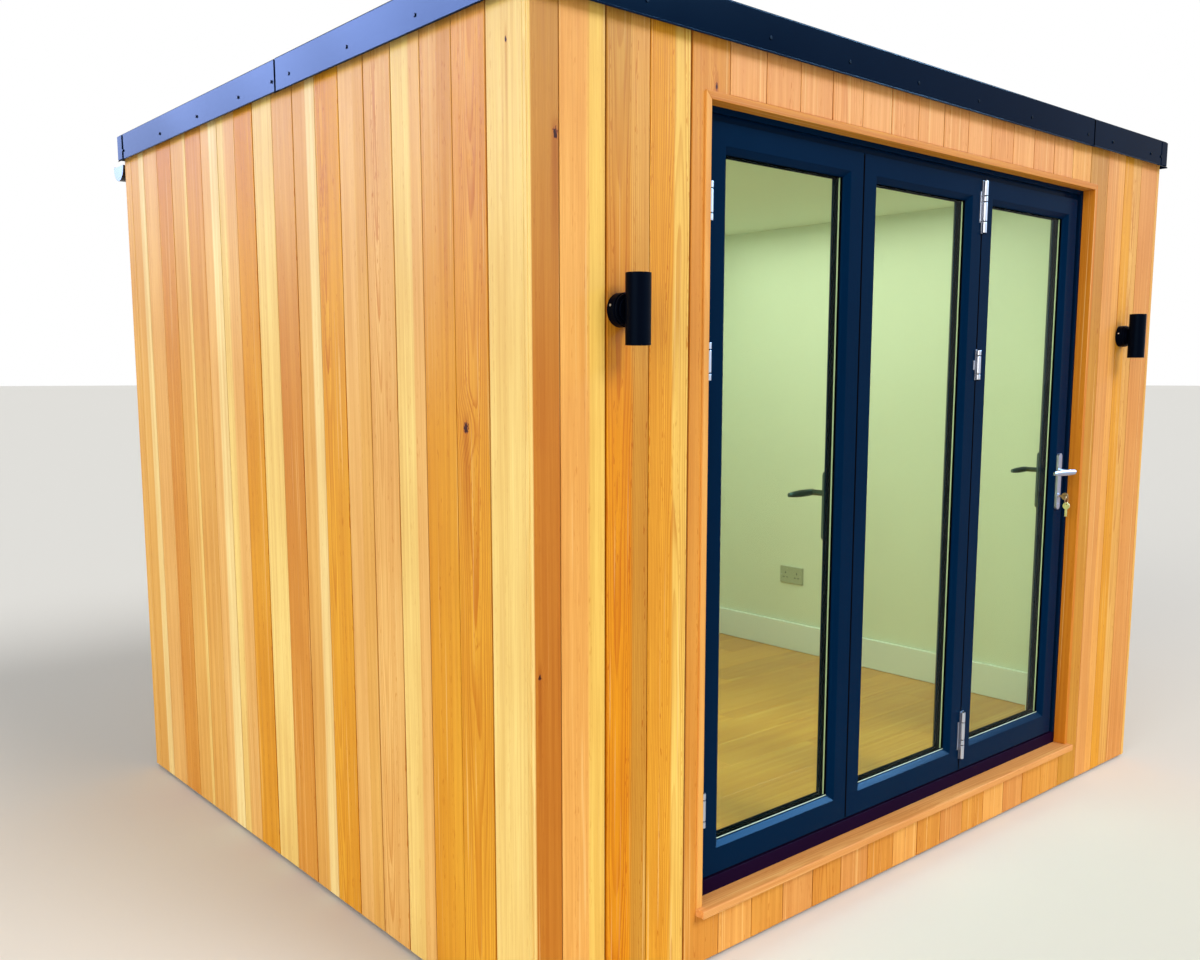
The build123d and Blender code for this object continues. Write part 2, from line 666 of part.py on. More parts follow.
def trim_corner_caps():
    """Folded angle over the trim at each corner."""
    caps = []
    low, high = TRIM_BOTTOM + DRIP_KICK, TRIM_TOP - TRIM_ROLL
    for x, x_sign in ((0.0, -1), (WIDTH, 1)):
        for y, y_sign in ((0.0, -1), (DEPTH, 1)):
            face_x = x + x_sign * TRIM_FACE
            face_y = y + y_sign * TRIM_FACE
            far_x, far_y = face_x + x_sign * CAP_SHEET, face_y + y_sign * CAP_SHEET
            in_x, in_y = face_x - x_sign * CAP_LEG, face_y - y_sign * CAP_LEG
            x_run, y_run = sorted((far_x, in_x)), sorted((far_y, in_y))
            x_skin, y_skin = sorted((face_x, far_x)), sorted((face_y, far_y))
            caps.append(block(*x_run, *y_skin, low, high) + block(*x_skin, *y_run, low, high))
    return loose(caps)


def rear_gutter():
    """Half-round gutter with closed ends, hung on the back wall under the roof's edge."""
    middle_y = DEPTH + GUTTER_OFF_WALL + GUTTER_RADIUS
    left, right = -GUTTER_END, WIDTH + GUTTER_END
    sheet = GUTTER_SHEET
    trough = cross_rod(left, right, middle_y, GUTTER_TOP, GUTTER_RADIUS)
    trough -= cross_rod(left + sheet, right - sheet, middle_y, GUTTER_TOP, GUTTER_RADIUS - sheet)
    far_y, top = middle_y + GUTTER_RADIUS, GUTTER_TOP + GUTTER_RADIUS
    trough -= block(left, right, DEPTH, far_y, GUTTER_TOP, top)
    pieces = [trough]
    low, high = GUTTER_TOP - BRACKET_BELOW, GUTTER_TOP + BRACKET_ABOVE
    for share in BRACKET_SHARES:
        start = share * WIDTH - BRACKET_WIDTH / 2
        end = start + BRACKET_WIDTH
        pieces.append(block(start, end, DEPTH, DEPTH + BRACKET_THICKNESS, low, high))
    return joined(pieces)


# Fittings inside
def skirting_boards():
    """Square skirting round the room, stopped at the doorway."""
    low, high = FLOOR_TOP, FLOOR_TOP + SKIRTING_HEIGHT
    face = WALL + SKIRTING
    outer = block(WALL, WIDTH - WALL, WALL, DEPTH - WALL, low, high)
    inner = block(face, WIDTH - face, face, DEPTH - face, low, high)
    return outer - inner - block(OPENING_LEFT, OPENING_RIGHT, WALL, face, low, high)


def double_socket():
    """Double socket plate on the right wall, with two rockers and eased edges."""
    wall_x = WIDTH - WALL
    face = wall_x - SOCKET_DEPTH
    front, back = SOCKET_FROM_FRONT - SOCKET_WIDTH / 2, SOCKET_FROM_FRONT + SOCKET_WIDTH / 2
    low, high = SOCKET_MIDDLE - SOCKET_HEIGHT / 2, SOCKET_MIDDLE + SOCKET_HEIGHT / 2
    plate = block(face, wall_x, front, back, low, high)
    pieces = [chamfer(plate.faces().sort_by(Axis.X)[0].edges(), SOCKET_EASE)]
    rocker_top = high - ROCKER_WIDTH
    for offset in (-ROCKER_OFFSET, ROCKER_OFFSET):
        start = SOCKET_FROM_FRONT + offset - ROCKER_WIDTH / 2
        end = start + ROCKER_WIDTH
        rocker_low = rocker_top - ROCKER_HEIGHT
        pieces.append(block(face - ROCKER_PROUD, face, start, end, rocker_low, rocker_top))
    return joined(pieces)


os.makedirs(PARTS, exist_ok=True)
save("base_frame", base_frame())
save("floor_boards", floor_boards())
for group in (wall_panels(), plaster_linings(), claddings()):
    for piece_name, piece in group.items():
        save(piece_name, piece)
save("door_lining", door_lining())
save("door_sill", door_sill())
save("door_frame", door_frame())
for leaf_number in range(LEAF_COUNT):
    save(f"door_leaf_{leaf_number + 1}", door_leaf(leaf_number))
    save(f"door_glass_{leaf_number + 1}", door_glass(leaf_number))
save("glass_spacers", glass_spacers())
save("door_hinges", door_hinges())
save("outside_handle", handle_set(2, FRAME_FRONT, -1, True))
save("inside_handles", loose([
    handle_set(2, LEAF_BACK, 1, True),
    handle_set(0, LEAF_BACK, 1, False),
]))
save("lock_keys", lock_keys())
lights = [wall_light(x) for x in (LIGHT_FROM_CORNER, WIDTH - LIGHT_FROM_CORNER)]
save("wall_lights", loose(lights))
save("roof_panel", roof_panel())
save("roof_edge", roof_edge())
save("roof_membrane", roof_membrane())
save("ceiling", ceiling())
save("front_roof_trim", front_roof_trim())
save("side_roof_trims", side_roof_trims())
save("rear_roof_trim", rear_roof_trim())
save("trim_corner_caps", trim_corner_caps())
save("rear_gutter", rear_gutter())
save("skirting_boards", skirting_boards())
save("double_socket", double_socket())
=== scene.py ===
# %% [markdown]
# # A cedar garden office
# The real building is a small flat-roofed room: an insulated box clad in upright cedar boards, with
# a dark folded metal trim round its roof and three glazed folding leaves in a cedar-lined doorway.
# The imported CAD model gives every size. This file adds what a maker would see close up: separate
# boards with their grain, joints, screws, seals, laps and paint.

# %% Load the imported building
import random

import bmesh
import bpy
import numpy as np
from math import pi, radians
from mathutils import Matrix, Vector


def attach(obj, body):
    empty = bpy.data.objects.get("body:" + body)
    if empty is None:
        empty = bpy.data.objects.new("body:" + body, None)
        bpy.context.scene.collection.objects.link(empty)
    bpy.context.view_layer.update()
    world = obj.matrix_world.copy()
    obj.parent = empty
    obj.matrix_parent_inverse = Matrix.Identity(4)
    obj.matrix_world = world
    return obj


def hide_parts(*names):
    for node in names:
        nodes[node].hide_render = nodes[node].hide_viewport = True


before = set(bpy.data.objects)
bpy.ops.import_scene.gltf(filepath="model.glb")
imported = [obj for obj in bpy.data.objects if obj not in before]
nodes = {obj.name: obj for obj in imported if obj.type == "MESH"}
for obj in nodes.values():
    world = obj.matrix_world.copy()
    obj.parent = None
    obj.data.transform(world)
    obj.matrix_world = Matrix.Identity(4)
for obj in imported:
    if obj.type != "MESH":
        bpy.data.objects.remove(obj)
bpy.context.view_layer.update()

# %% [markdown]
# ## Measuring from the front left corner
# A fitter measures from a corner of the building in millimetres, while Blender works in metres from
# the middle of the footprint. One small function turns the first into the second, so that the
# numbers below read like a tape measure: along the front, towards the back, up from the ground.
# Five directions have names, for cutting, facing and turning.

# %% Places, directions and common sizes
MM = 0.001
WIDTH, DEPTH = 3120, 2550
BOARD_TOP, BOARD_FOOT = 2420, 10
OPENING_LEFT, OPENING_RIGHT = 542, 2602
OPENING_MIDDLE = (OPENING_LEFT + OPENING_RIGHT) / 2
OPENING_HEAD, SILL_BOTTOM, FLOOR_TOP = 2280, 150, 172
UP = Vector((0, 0, 1))
LEFT, RIGHT = Vector((-1, 0, 0)), Vector((1, 0, 0))
FRONT, BACK = Vector((0, -1, 0)), Vector((0, 1, 0))


def spot(x, y, z):
    """Place in metres of a point taped from the front left corner."""
    return Vector(((x - WIDTH / 2) * MM, (y - DEPTH / 2) * MM, z * MM))


print("front left corner of the boards", tuple(spot(0, 0, 0)))

# %% [markdown]
# ## Camera
# The photograph was taken from eye height near the front left corner, with a short lens. Its
# upright lines lean together a little, so the camera looks slightly down. The frame sits a touch
# higher than the lens's own middle, which is what the small shift is for.

# %% Set up the camera
camera_data = bpy.data.cameras.new("camera")
camera_data.lens = 33.10
camera_data.sensor_width = 36.0
camera_data.shift_y = 0.033
camera = bpy.data.objects.new("camera", camera_data)
camera.location = (-3.0454, -3.2232, 1.587)
camera.rotation_euler = (radians(82.606), 0, radians(-40.904))
bpy.context.scene.collection.objects.link(camera)
bpy.context.scene.camera = camera
bpy.context.scene.view_settings.view_transform = "Standard"
print("camera height", camera.location.z)

# %% [markdown]
# ## Helpers for modelling by operator
# An operator works on whatever is selected. Each helper therefore starts by deselecting everything,
# and in edit mode the faces or edges to be worked on are picked by their place or direction.

# %% Select, add and name
def only(piece):
    """Select one piece and nothing else."""
    bpy.ops.object.select_all(action="DESELECT")
    piece.select_set(True)
    bpy.context.view_layer.objects.active = piece


def settle(piece, name):
    """Name a new piece and put its place, turn and scale into its mesh."""
    piece.name = piece.data.name = name
    only(piece)
    bpy.ops.object.transform_apply(location=True, rotation=True, scale=True)
    return piece


def add_block(name, low, high):
    """Block between two places."""
    bpy.ops.object.select_all(action="DESELECT")
    bpy.ops.mesh.primitive_cube_add(size=1, location=(low + high) / 2)
    bpy.context.object.scale = high - low
    return settle(bpy.context.object, name)


def add_rod(name, start, end, radius, sides=32):
    """Round bar from one place to another."""
    run = end - start
    bpy.ops.object.select_all(action="DESELECT")
    bpy.ops.mesh.primitive_cylinder_add(vertices=sides, radius=radius, depth=run.length,
                                        location=(start + end) / 2)
    piece = bpy.context.object
    piece.rotation_euler = run.to_track_quat("Z", "Y").to_euler()
    return settle(piece, name)


# %% Pick, cut and round
def edit(piece, mode="FACE", pick="DESELECT"):
    """Open a piece in edit mode with nothing selected, or with everything."""
    only(piece)
    bpy.ops.object.mode_set(mode="EDIT")
    bpy.ops.mesh.select_mode(type=mode)
    bpy.ops.mesh.select_all(action=pick)


def done():
    """Leave edit mode."""
    bpy.ops.object.mode_set(mode="OBJECT")


def edit_faces(piece, test):
    """Open a piece in edit mode with the faces whose middle and direction pass a test."""
    edit(piece)
    mesh = bmesh.from_edit_mesh(piece.data)
    for face in mesh.faces:
        face.select_set(bool(test(face.calc_center_median(), face.normal)))
    bmesh.update_edit_mesh(piece.data)


def round_edges(piece, width, segments, test):
    """Bevel only the edges whose two ends pass a test."""
    edit(piece, "EDGE")
    mesh = bmesh.from_edit_mesh(piece.data)
    for edge in mesh.edges:
        edge.select_set(bool(test(edge.verts[0].co, edge.verts[1].co)))
    bmesh.update_edit_mesh(piece.data)
    bpy.ops.mesh.bevel(offset=width, segments=segments)
    done()


def finish_with(piece, kind, **settings):
    """Give a piece a modifier with its settings, and apply it."""
    only(piece)
    bpy.ops.object.modifier_add(type=kind)
    modifier = piece.modifiers[-1]
    for setting, value in settings.items():
        setattr(modifier, setting, value)
    bpy.ops.object.modifier_apply(modifier=modifier.name)


def ease(piece, width, segments=2, angle=35):
    """Round the sharp edges; the large faces keep their own direction in the shading."""
    finish_with(piece, "BEVEL", width=width, segments=segments, limit_method="ANGLE",
                angle_limit=radians(angle))
    bpy.ops.object.shade_smooth_by_angle(angle=radians(40))
    finish_with(piece, "WEIGHTED_NORMAL", keep_sharp=True)
    return piece


def cut_away(piece, tool):
    """Take the shape of a tool out of a piece, then clear the tool away."""
    finish_with(piece, "BOOLEAN", operation="DIFFERENCE", solver="EXACT", object=tool)
    bpy.data.objects.remove(tool)


def slice_off(piece, place, direction, drop=True):
    """Cut along a plane and drop what lies on the side that the direction points to."""
    edit(piece, pick="SELECT")
    bpy.ops.mesh.bisect(plane_co=place, plane_no=direction, use_fill=drop, clear_outer=drop)
    done()


def resize(piece, place, scale):
    """Scale a piece about a place."""
    piece.data.transform(Matrix.Translation(place) @ Matrix.Diagonal((*scale, 1))
                         @ Matrix.Translation(-place))


# %% Copy, join and hand over
def copy_of(piece, name):
    """Second piece with a mesh of its own."""
    twin = piece.copy()
    twin.data = piece.data.copy()
    twin.name = twin.data.name = name
    bpy.context.scene.collection.objects.link(twin)
    return twin


def joined(name, pieces):
    """Several pieces made one."""
    bpy.ops.object.select_all(action="DESELECT")
    for piece in pieces:
        piece.select_set(True)
    bpy.context.view_layer.objects.active = pieces[0]
    if len(pieces) > 1:
        bpy.ops.object.join()
    whole = bpy.context.view_layer.objects.active
    whole.name = whole.data.name = name
    return whole


def cad_copy(node, name):
    """Copy of a CAD node's mesh with its loose triangles merged into whole faces."""
    piece = copy_of(nodes[node], name)
    piece.parent = None
    for key in list(piece.keys()):
        del piece[key]
    edit(piece, "VERT", "SELECT")
    bpy.ops.mesh.remove_doubles(threshold=0.00002)
    bpy.ops.mesh.dissolve_limited(angle_limit=radians(0.5))
    done()
    return piece


def fit_out(piece, material, slot, *replaced):
    """Give a finished piece its material and the CAD nodes it stands for; the slot is not used."""
    piece.data.materials.clear()
    piece.data.materials.append(material)
    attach(piece, "root")
    if replaced:
        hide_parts(*replaced)
    print(piece.name, "has", len(piece.data.polygons), "faces of", material.name)


def dress_node(node, name, material, slot, width, segments=2, angle=35):
    """Fit out a copy of a CAD node that only needs its edges rounded."""
    fit_out(ease(cad_copy(node, name), width, segments, angle), material, slot, node)


def repaint(material, *names):
    """Give CAD nodes whose shape is right a better material."""
    for name in names:
        mesh = nodes[name].data
        mesh.materials.clear()
        mesh.materials.append(material)
    print(material.name, "on", *names)


# %% [markdown]
# ## Helpers for materials
# A material here is a small network: patterns made from the place on the piece, mixed into colour,
# roughness and fine relief. A few short helpers keep each network readable. They add to the network
# that was opened last, as a hand does in the node editor. Effects that several finishes share are
# node groups with named sockets.

# %% Wire up nodes
def open_network(tree):
    """Make this the network that the helpers add to."""
    global network
    network = tree


def wire(socket, source):
    """Give a socket a plain value, or link another node's output to it."""
    if isinstance(source, bpy.types.NodeSocket):
        network.links.new(source, socket)
    else:
        socket.default_value = source


def add_node(kind, *sources, **settings):
    """Node with its settings made and its first sockets filled in order."""
    node = network.nodes.new("ShaderNode" + kind)
    for setting, value in settings.items():
        setattr(node, setting, value)
    for socket, source in zip(node.inputs, sources):
        wire(socket, source)
    return node


def fill(node, **sources):
    """Fill a node's sockets by name; an underscore stands for a space."""
    for label, source in sources.items():
        wire(node.inputs[label.replace("_", " ")], source)
    return node


def calc(operation, *values):
    """Result of a math node."""
    return add_node("Math", *values, operation=operation).outputs[0]


def vector_calc(operation, *values):
    """Result of a vector math node; a length comes out as a number."""
    made = add_node("VectorMath", *values, operation=operation)
    return made.outputs["Value" if operation == "LENGTH" else "Vector"]


def rescale(value, low, high, new_low=0.0, new_high=1.0):
    """Stretch a value from one range to another with soft ends."""
    return add_node("MapRange", value, low, high, new_low, new_high,
                    interpolation_type="SMOOTHSTEP").outputs[0]


# %% Colours, patterns and what the mesh stores
MIX_FIRST, MIX_SECOND, MIX_RESULT = 6, 7, 2     # a Mix node's sockets for colour


def tint(share, first, second, kind="MIX"):
    """Mix of two colours."""
    made = add_node("Mix", share, data_type="RGBA", blend_type=kind)
    wire(made.inputs[MIX_FIRST], first)
    wire(made.inputs[MIX_SECOND], second)
    return made.outputs[MIX_RESULT]


def times(colour, factor):
    """Colour multiplied by another."""
    return tint(1.0, colour, factor, "MULTIPLY")


def clouds(place, repeats, detail=2.0, roughness=0.5, output="Fac"):
    """Soft random pattern with a number of repeats a metre for each direction."""
    stretched = vector_calc("MULTIPLY", place, repeats)
    return fill(add_node("TexNoise"), Vector=stretched, Scale=1.0, Detail=detail,
                Roughness=roughness).outputs[output]


def attribute(name, output="Fac"):
    """Value stored on the mesh."""
    return add_node("Attribute", attribute_name=name).outputs[output]


def object_place():
    """Place on the piece in metres."""
    return add_node("TexCoord").outputs["Object"]


# %% Start a group or a material
NUMBER, VECTOR, COLOUR = "NodeSocketFloat", "NodeSocketVector", "NodeSocketColor"


def start_group(name, inputs, outputs):
    """Node group with its named sockets; gives the group, its inputs and its output node."""
    group = bpy.data.node_groups.new(name, "ShaderNodeTree")
    for label, kind, value in inputs:
        socket = group.interface.new_socket(name=label, in_out="INPUT", socket_type=kind)
        if value is not None:
            socket.default_value = value
    for label, kind in outputs:
        group.interface.new_socket(name=label, in_out="OUTPUT", socket_type=kind)
    open_network(group)
    return group, group.nodes.new("NodeGroupInput").outputs, group.nodes.new("NodeGroupOutput")


def use_group(group, **values):
    """Outputs of a group that is placed in a material with values of its own."""
    return fill(add_node("Group", node_tree=group), **values).outputs


def start_material(name):
    """Material and its main shader, with its network open."""
    material = bpy.data.materials.new(name)
    material.use_nodes = True
    open_network(material.node_tree)
    return material, material.node_tree.nodes["Principled BSDF"]


def set_relief(shader, height, depth):
    """Fine relief from a height pattern, in metres."""
    bump = fill(add_node("Bump"), Strength=1.0, Distance=depth, Height=height)
    fill(shader, Normal=bump.outputs["Normal"])


# %% [markdown]
# ## Wood grain
# A board is sawn out of a trunk, and the trunk's yearly rings are cylinders round its heart. Cut
# far from the heart they show as fine upright lines, and cut close by as tall arches. So each
# board stores where it lay in its trunk, and the grain is worked out from the distance to the
# heart, which gives both patterns from one rule. Fibres are a noise drawn out along the length.

# %% Group: wood grain
LATE_WOOD, PALE_STREAK = (0.76, 0.52, 0.28, 1), (0.93, 0.66, 0.26, 1)
wood_grain, grain_in, grain_out = start_group(
    "wood grain",
    [("Place in trunk", VECTOR, None), ("Board colour", COLOUR, (0.8, 0.45, 0.15, 1)),
     ("Band colour", COLOUR, (0.8, 0.45, 0.15, 1)), ("Past band edge", NUMBER, -1.0),
     ("Ring width", NUMBER, 0.004), ("Ring strength", NUMBER, 0.5), ("Swell", NUMBER, 0.0)],
    [("Colour", COLOUR), ("Roughness", NUMBER), ("Height", NUMBER)])
trunk = grain_in["Place in trunk"]

# Distance from a heart that wanders a little, and how far into its year that place is.
drift = vector_calc("SUBTRACT", clouds(trunk, (9, 9, 1.1), output="Color"), (0.5, 0.5, 0.5))
drift = vector_calc("MULTIPLY", drift, (0.02, 0.02, 0))
flat = vector_calc("MULTIPLY", vector_calc("ADD", trunk, drift), (1, 1, 0))
from_heart = calc("ADD", vector_calc("LENGTH", flat), grain_in["Swell"])
year = calc("FRACT", calc("DIVIDE", from_heart, grain_in["Ring width"]))

# Late wood darkens slowly through the year and ends at once; some years make more of it.
late_share = calc("MULTIPLY", rescale(year, 0.35, 0.9), rescale(year, 0.92, 1.0, 1.0, 0.0))
good_years = clouds(add_node("CombineXYZ", from_heart).outputs[0], (55, 0, 0))
late_share = calc("MULTIPLY", late_share, rescale(good_years, 0.3, 0.7, 0.3, 1.0))

# Strips, threads and fibres run up the board, each finer than the one before.
strips = clouds(trunk, (70, 70, 0.45), 3, 0.6)
threads = clouds(trunk, (270, 270, 3))
fibres = clouds(trunk, (900, 900, 9), 3, 0.6)
patches = clouds(trunk, (5, 5, 1.8))
late_share = calc("MULTIPLY", late_share, rescale(threads, 0.3, 0.7, 0.45, 1.25))
flecks = rescale(clouds(trunk, (270, 270, 34), 1), 0.60, 0.70, 0.0, 0.9)
flecks = calc("MULTIPLY", flecks, rescale(good_years, 0.45, 0.6))
late_share = calc("MULTIPLY", calc("MAXIMUM", late_share, flecks), grain_in["Ring strength"])

# Where wood is darker it is also redder, so blue falls faster than green, and red more slowly.
tone = 1.0
for pattern, low, high in ((strips, 0.87, 1.10), (patches, 0.90, 1.07), (threads, 0.92, 1.07),
                           (fibres, 0.95, 1.04)):
    tone = calc("MULTIPLY", tone, rescale(pattern, 0.27, 0.73, low, high))
tone_colour = add_node("CombineColor", calc("POWER", tone, 0.5), tone, calc("POWER", tone, 1.6))

wavering = calc("ADD", grain_in["Past band edge"], rescale(strips, 0.3, 0.7, -0.03, 0.03))
board_tone = tint(rescale(wavering, -0.035, 0.035), grain_in["Board colour"],
                  grain_in["Band colour"])
early_colour = times(board_tone, tone_colour.outputs[0])
ringed = tint(late_share, early_colour, times(early_colour, LATE_WOOD))
pale = rescale(clouds(trunk, (120, 120, 0.5), 1), 0.64, 0.74, 0.0, 0.45)
fill(grain_out, Colour=tint(pale, ringed, PALE_STREAK),
     Roughness=rescale(fibres, 0.2, 0.8, 0.5, 0.72),
     Height=calc("ADD", calc("MULTIPLY", late_share, 0.6), fibres))
print("wood grain nodes", len(wood_grain.nodes))

# %% [markdown]
# ## Knots
# A knot is a branch cut across: a dark hard core with a paler rim, and rings that swell round it.
# The group adds one knot to what it is given, so that a few can be chained, each at its place.

# %% Group: knot
knot, knot_in, knot_out = start_group(
    "knot",
    [("Place", VECTOR, None), ("Middle", VECTOR, (0, 0, 0)), ("Size", NUMBER, 0.01),
     ("Core so far", NUMBER, 0.0), ("Swell so far", NUMBER, 0.0), ("Stain so far", NUMBER, 0.0)],
    [("Core", NUMBER), ("Swell", NUMBER), ("Stain", NUMBER)])
away = vector_calc("SUBTRACT", knot_in["Place"], knot_in["Middle"])


def sizes_away(weights):
    """Distance from the knot in knot sizes, with a weight for each direction."""
    weighted = vector_calc("MULTIPLY", away, weights)
    return calc("DIVIDE", vector_calc("LENGTH", weighted), knot_in["Size"])


reach, sideways = sizes_away((1, 1, 0.6)), sizes_away((1, 1, 0))
ragged = rescale(clouds(knot_in["Place"], (190, 190, 120)), 0.3, 0.7, -0.35, 0.35)
core = rescale(calc("ADD", reach, ragged), 0.35, 1.1, 1.0, 0.0)
swell = rescale(reach, 0.0, 6.0, 0.012, 0.0)
height = add_node("SeparateXYZ", away).outputs["Z"]
upright = calc("MULTIPLY", rescale(height, -0.42, -0.01), rescale(height, 0.0, 0.05, 1.0, 0.0))
stain = calc("MULTIPLY", upright, rescale(sideways, 0.2, 1.8, 1.0, 0.0))
fill(knot_out, Core=calc("MAXIMUM", core, knot_in["Core so far"]),
     Swell=calc("ADD", swell, knot_in["Swell so far"]),
     Stain=calc("MAXIMUM", stain, knot_in["Stain so far"]))
print("knot nodes", len(knot.nodes))

# %% [markdown]
# ## Cedar finish
# Oiled cedar is matt with a slight sheen on the hard late wood. The colour comes from the board
# itself, so neighbours differ as they do on the real wall. The knots stand where the photograph
# shows them.

# %% Material: cedar
KNOTS = (       # x, y, height and radius
    (73, 0, 2113, 9), (21, 0, 902, 5), (583, 0, 2295, 6), (0, 78, 2312, 4), (0, 254, 1467, 11),
    (3120, 905, 1210, 9), (3120, 1744, 720, 7), (1310, 2550, 1630, 10), (2380, 2550, 940, 7),
)
# The wood inside each V joint is darkened, the deeper the more: painted shade in the joint.
JOINT_PAINTED_SHADE, STAIN_SHADE = (0.42, 0.2, 0.09, 1), (0.72, 0.5, 0.25, 1)
KNOT_RIM, KNOT_CORE = (0.30, 0.075, 0.015, 1), (0.05, 0.014, 0.005, 1)


def cedar_material(name, ring_strength, knots):
    """Wood whose board colour and place in the trunk are stored on the mesh."""
    material, shader = start_material(name)
    core, swell, stain = 0.0, 0.0, 0.0
    for x, y, z, size in knots:
        found = use_group(knot, Place=object_place(), Middle=spot(x, y, z), Size=size * MM,
                          Core_so_far=core, Swell_so_far=swell, Stain_so_far=stain)
        core, swell, stain = found["Core"], found["Swell"], found["Stain"]
    grain = use_group(wood_grain, Place_in_trunk=attribute("trunk_place", "Vector"),
                      Board_colour=attribute("board_colour", "Color"),
                      Band_colour=attribute("band_colour", "Color"),
                      Past_band_edge=attribute("past_band_edge"), Ring_width=0.0042, Swell=swell,
                      Ring_strength=calc("MULTIPLY", ring_strength, attribute("figure")))
    colour = grain["Colour"]
    # Painted shade: the colour darkens inside the V joint, the deeper the more.
    colour = tint(attribute("joint_depth"), colour, times(colour, JOINT_PAINTED_SHADE))
    if knots:
        colour = tint(calc("MULTIPLY", stain, 0.7), colour, times(colour, STAIN_SHADE))
        colour = tint(rescale(core, 0.05, 0.4), colour, KNOT_RIM)
        colour = tint(rescale(core, 0.45, 0.8), colour, KNOT_CORE)
    fill(shader, Base_Color=colour, Roughness=grain["Roughness"], Specular_IOR_Level=0.06)
    set_relief(shader, grain["Height"], 0.0003)
    return material


cedar = cedar_material("cedar", 0.75, KNOTS)
cedar_trim = cedar_material("cedar trim", 0.6, ())
print("cedar with", len(KNOTS), "knots")

# %% [markdown]
# ## One cladding board
# The boards are tongued and grooved: 137 mm of each shows, and a fine V is left at every joint.
# One board is modelled: a block, its front face inset and pulled out, and that face's edges
# rounded. Every other board is a copy that is moved wider or longer at its middle, so the rounding
# keeps its real size.

# %% Model the board
BOARD, BACK_PART = 20, 12       # its thickness, and how much of it lies behind the V
JOINT = 1.2
MODEL_SIZE = 100

board_model = add_block("board_model", Vector((-MODEL_SIZE / 2, -BACK_PART, -MODEL_SIZE / 2)) * MM,
                        Vector((MODEL_SIZE / 2, 0, MODEL_SIZE / 2)) * MM)
edit_faces(board_model, lambda middle, normal: normal.y < -0.9)
bpy.ops.mesh.inset(thickness=JOINT * MM)
bpy.ops.mesh.extrude_region_move(
    TRANSFORM_OT_translate={"value": (0, -(BOARD - BACK_PART) * MM, 0)})
done()
round_edges(board_model, 0.0016, 2, lambda a, b: max(a.y, b.y) < -BOARD * MM + 0.0001)
print("faces on a board", len(board_model.data.polygons))

# %% Store values on a mesh
FIELDS = {"FLOAT": "value", "FLOAT_VECTOR": "vector", "FLOAT_COLOR": "color"}


def read_places(mesh):
    """Vertex places as an array."""
    places = np.zeros(len(mesh.vertices) * 3)
    mesh.vertices.foreach_get("co", places)
    return places.reshape(-1, 3)


def store(mesh, name, kind, values):
    """Keep a value for each vertex on the mesh."""
    mesh.attributes.new(name, kind, "POINT").data.foreach_set(FIELDS[kind], values.ravel())


# How deep each vertex lies in the V joint, which the cedar material turns into painted shade.
depth = read_places(board_model.data)[:, 1] / MM + BOARD
store(board_model.data, "joint_depth", "FLOAT", np.clip((depth - 0.5) / 5, 0, 1))
print("board depth, mm", round(depth.max(), 1))

# %% [markdown]
# ## Sorting the boards by colour
# Cedar comes in very different tones, from pale cream sapwood to amber heartwood, and the fitter
# mixes them. Each wall has a list of its boards in the order that the photograph shows, or in a
# mixed order on the walls that it doesn't show. A board can go from one tone at its foot to another
# at its top (a dash); this is partly the board's own tone and partly painted light, as most front
# boards pass to a muted blush at the top for the cooler sky light there and keep a warmer foot for
# the light thrown up from the ground. A board can change tone at a clear edge where heartwood meets
# sapwood (a slash, and the share of the width where that happens), and shows arches if it was cut
# near the heart (a tilde). Pale boards are calmer and heartwood is bolder, which is the strength of
# the figure. The gap lists say which joints have opened a little more and so read as darker lines.

# %% Tones, their order and the joints
TONES = {
    "ivory": (0.93, 0.71, 0.31), "cream": (0.93, 0.68, 0.23), "butter": (0.885, 0.575, 0.125),
    "peach": (0.86, 0.505, 0.16), "honey": (0.81, 0.45, 0.112), "blush": (0.84, 0.405, 0.13),
    "salmon": (0.85, 0.43, 0.105), "gold": (0.79, 0.37, 0.03), "tan": (0.74, 0.335, 0.055),
    "drab": (0.60, 0.305, 0.058), "rose": (0.75, 0.345, 0.09), "bronze": (0.63, 0.30, 0.035),
    "amber": (0.73, 0.265, 0.006), "russet": (0.57, 0.205, 0.02),
}
FIGURES = {"ivory": 0.5, "cream": 0.6, "amber": 1.3, "russet": 1.4, "bronze": 1.4, "gold": 1.3,
           "tan": 1.2}
PLAIN_FIGURE, HEART_FIGURE = 0.8, 1.5
# Most front boards pass to blush at the top: painted light, the muted sky-lit top of the wall.
FRONT_TONES = (
    "cream/russet-drab/.06 salmon/butter/.62 ~amber-drab/bronze-honey/.6 ~gold/butter/.6 tan-tan "
    "salmon-blush tan-blush rose-blush ~tan-blush rose-blush ~tan-blush salmon-blush tan-blush "
    "rose-blush ~tan-blush salmon-blush rose-blush tan-blush tan-salmon bronze-drab "
    "rose/salmon/.6 ~gold/honey/.5 rose").split()
LEFT_TONES = (
    "cream ~gold-salmon gold-honey/gold-peach/.45 peach/cream/.35 ~peach honey/peach/.45 ~gold "
    "ivory/honey/.4 tan-honey cream gold peach/cream/.6 ivory/peach/.5 honey-tan "
    "cream/honey/.15 tan peach ivory/honey/.4 honey").split()
RIGHT_TONES = (
    "honey peach/cream/.6 ~tan cream honey/peach/.4 bronze peach ~salmon/honey/.7 tan peach honey "
    "cream/honey/.5 ~tan-salmon peach/cream/.7 bronze honey peach/salmon/.6 tan cream").split()
BACK_TONES = (
    "tan honey/cream/.5 peach ~bronze cream/honey/.6 honey salmon peach/cream/.7 tan honey ~peach "
    "tan/salmon/.5 salmon cream peach/honey/.4 ~honey tan peach salmon bronze/honey/.6 peach cream "
    "tan").split()
FRONT_GAPS = {2: 1.9, 4: 1.9, 8: 0.6, 12: 0.7, 17: 0.8, 19: 0.5}
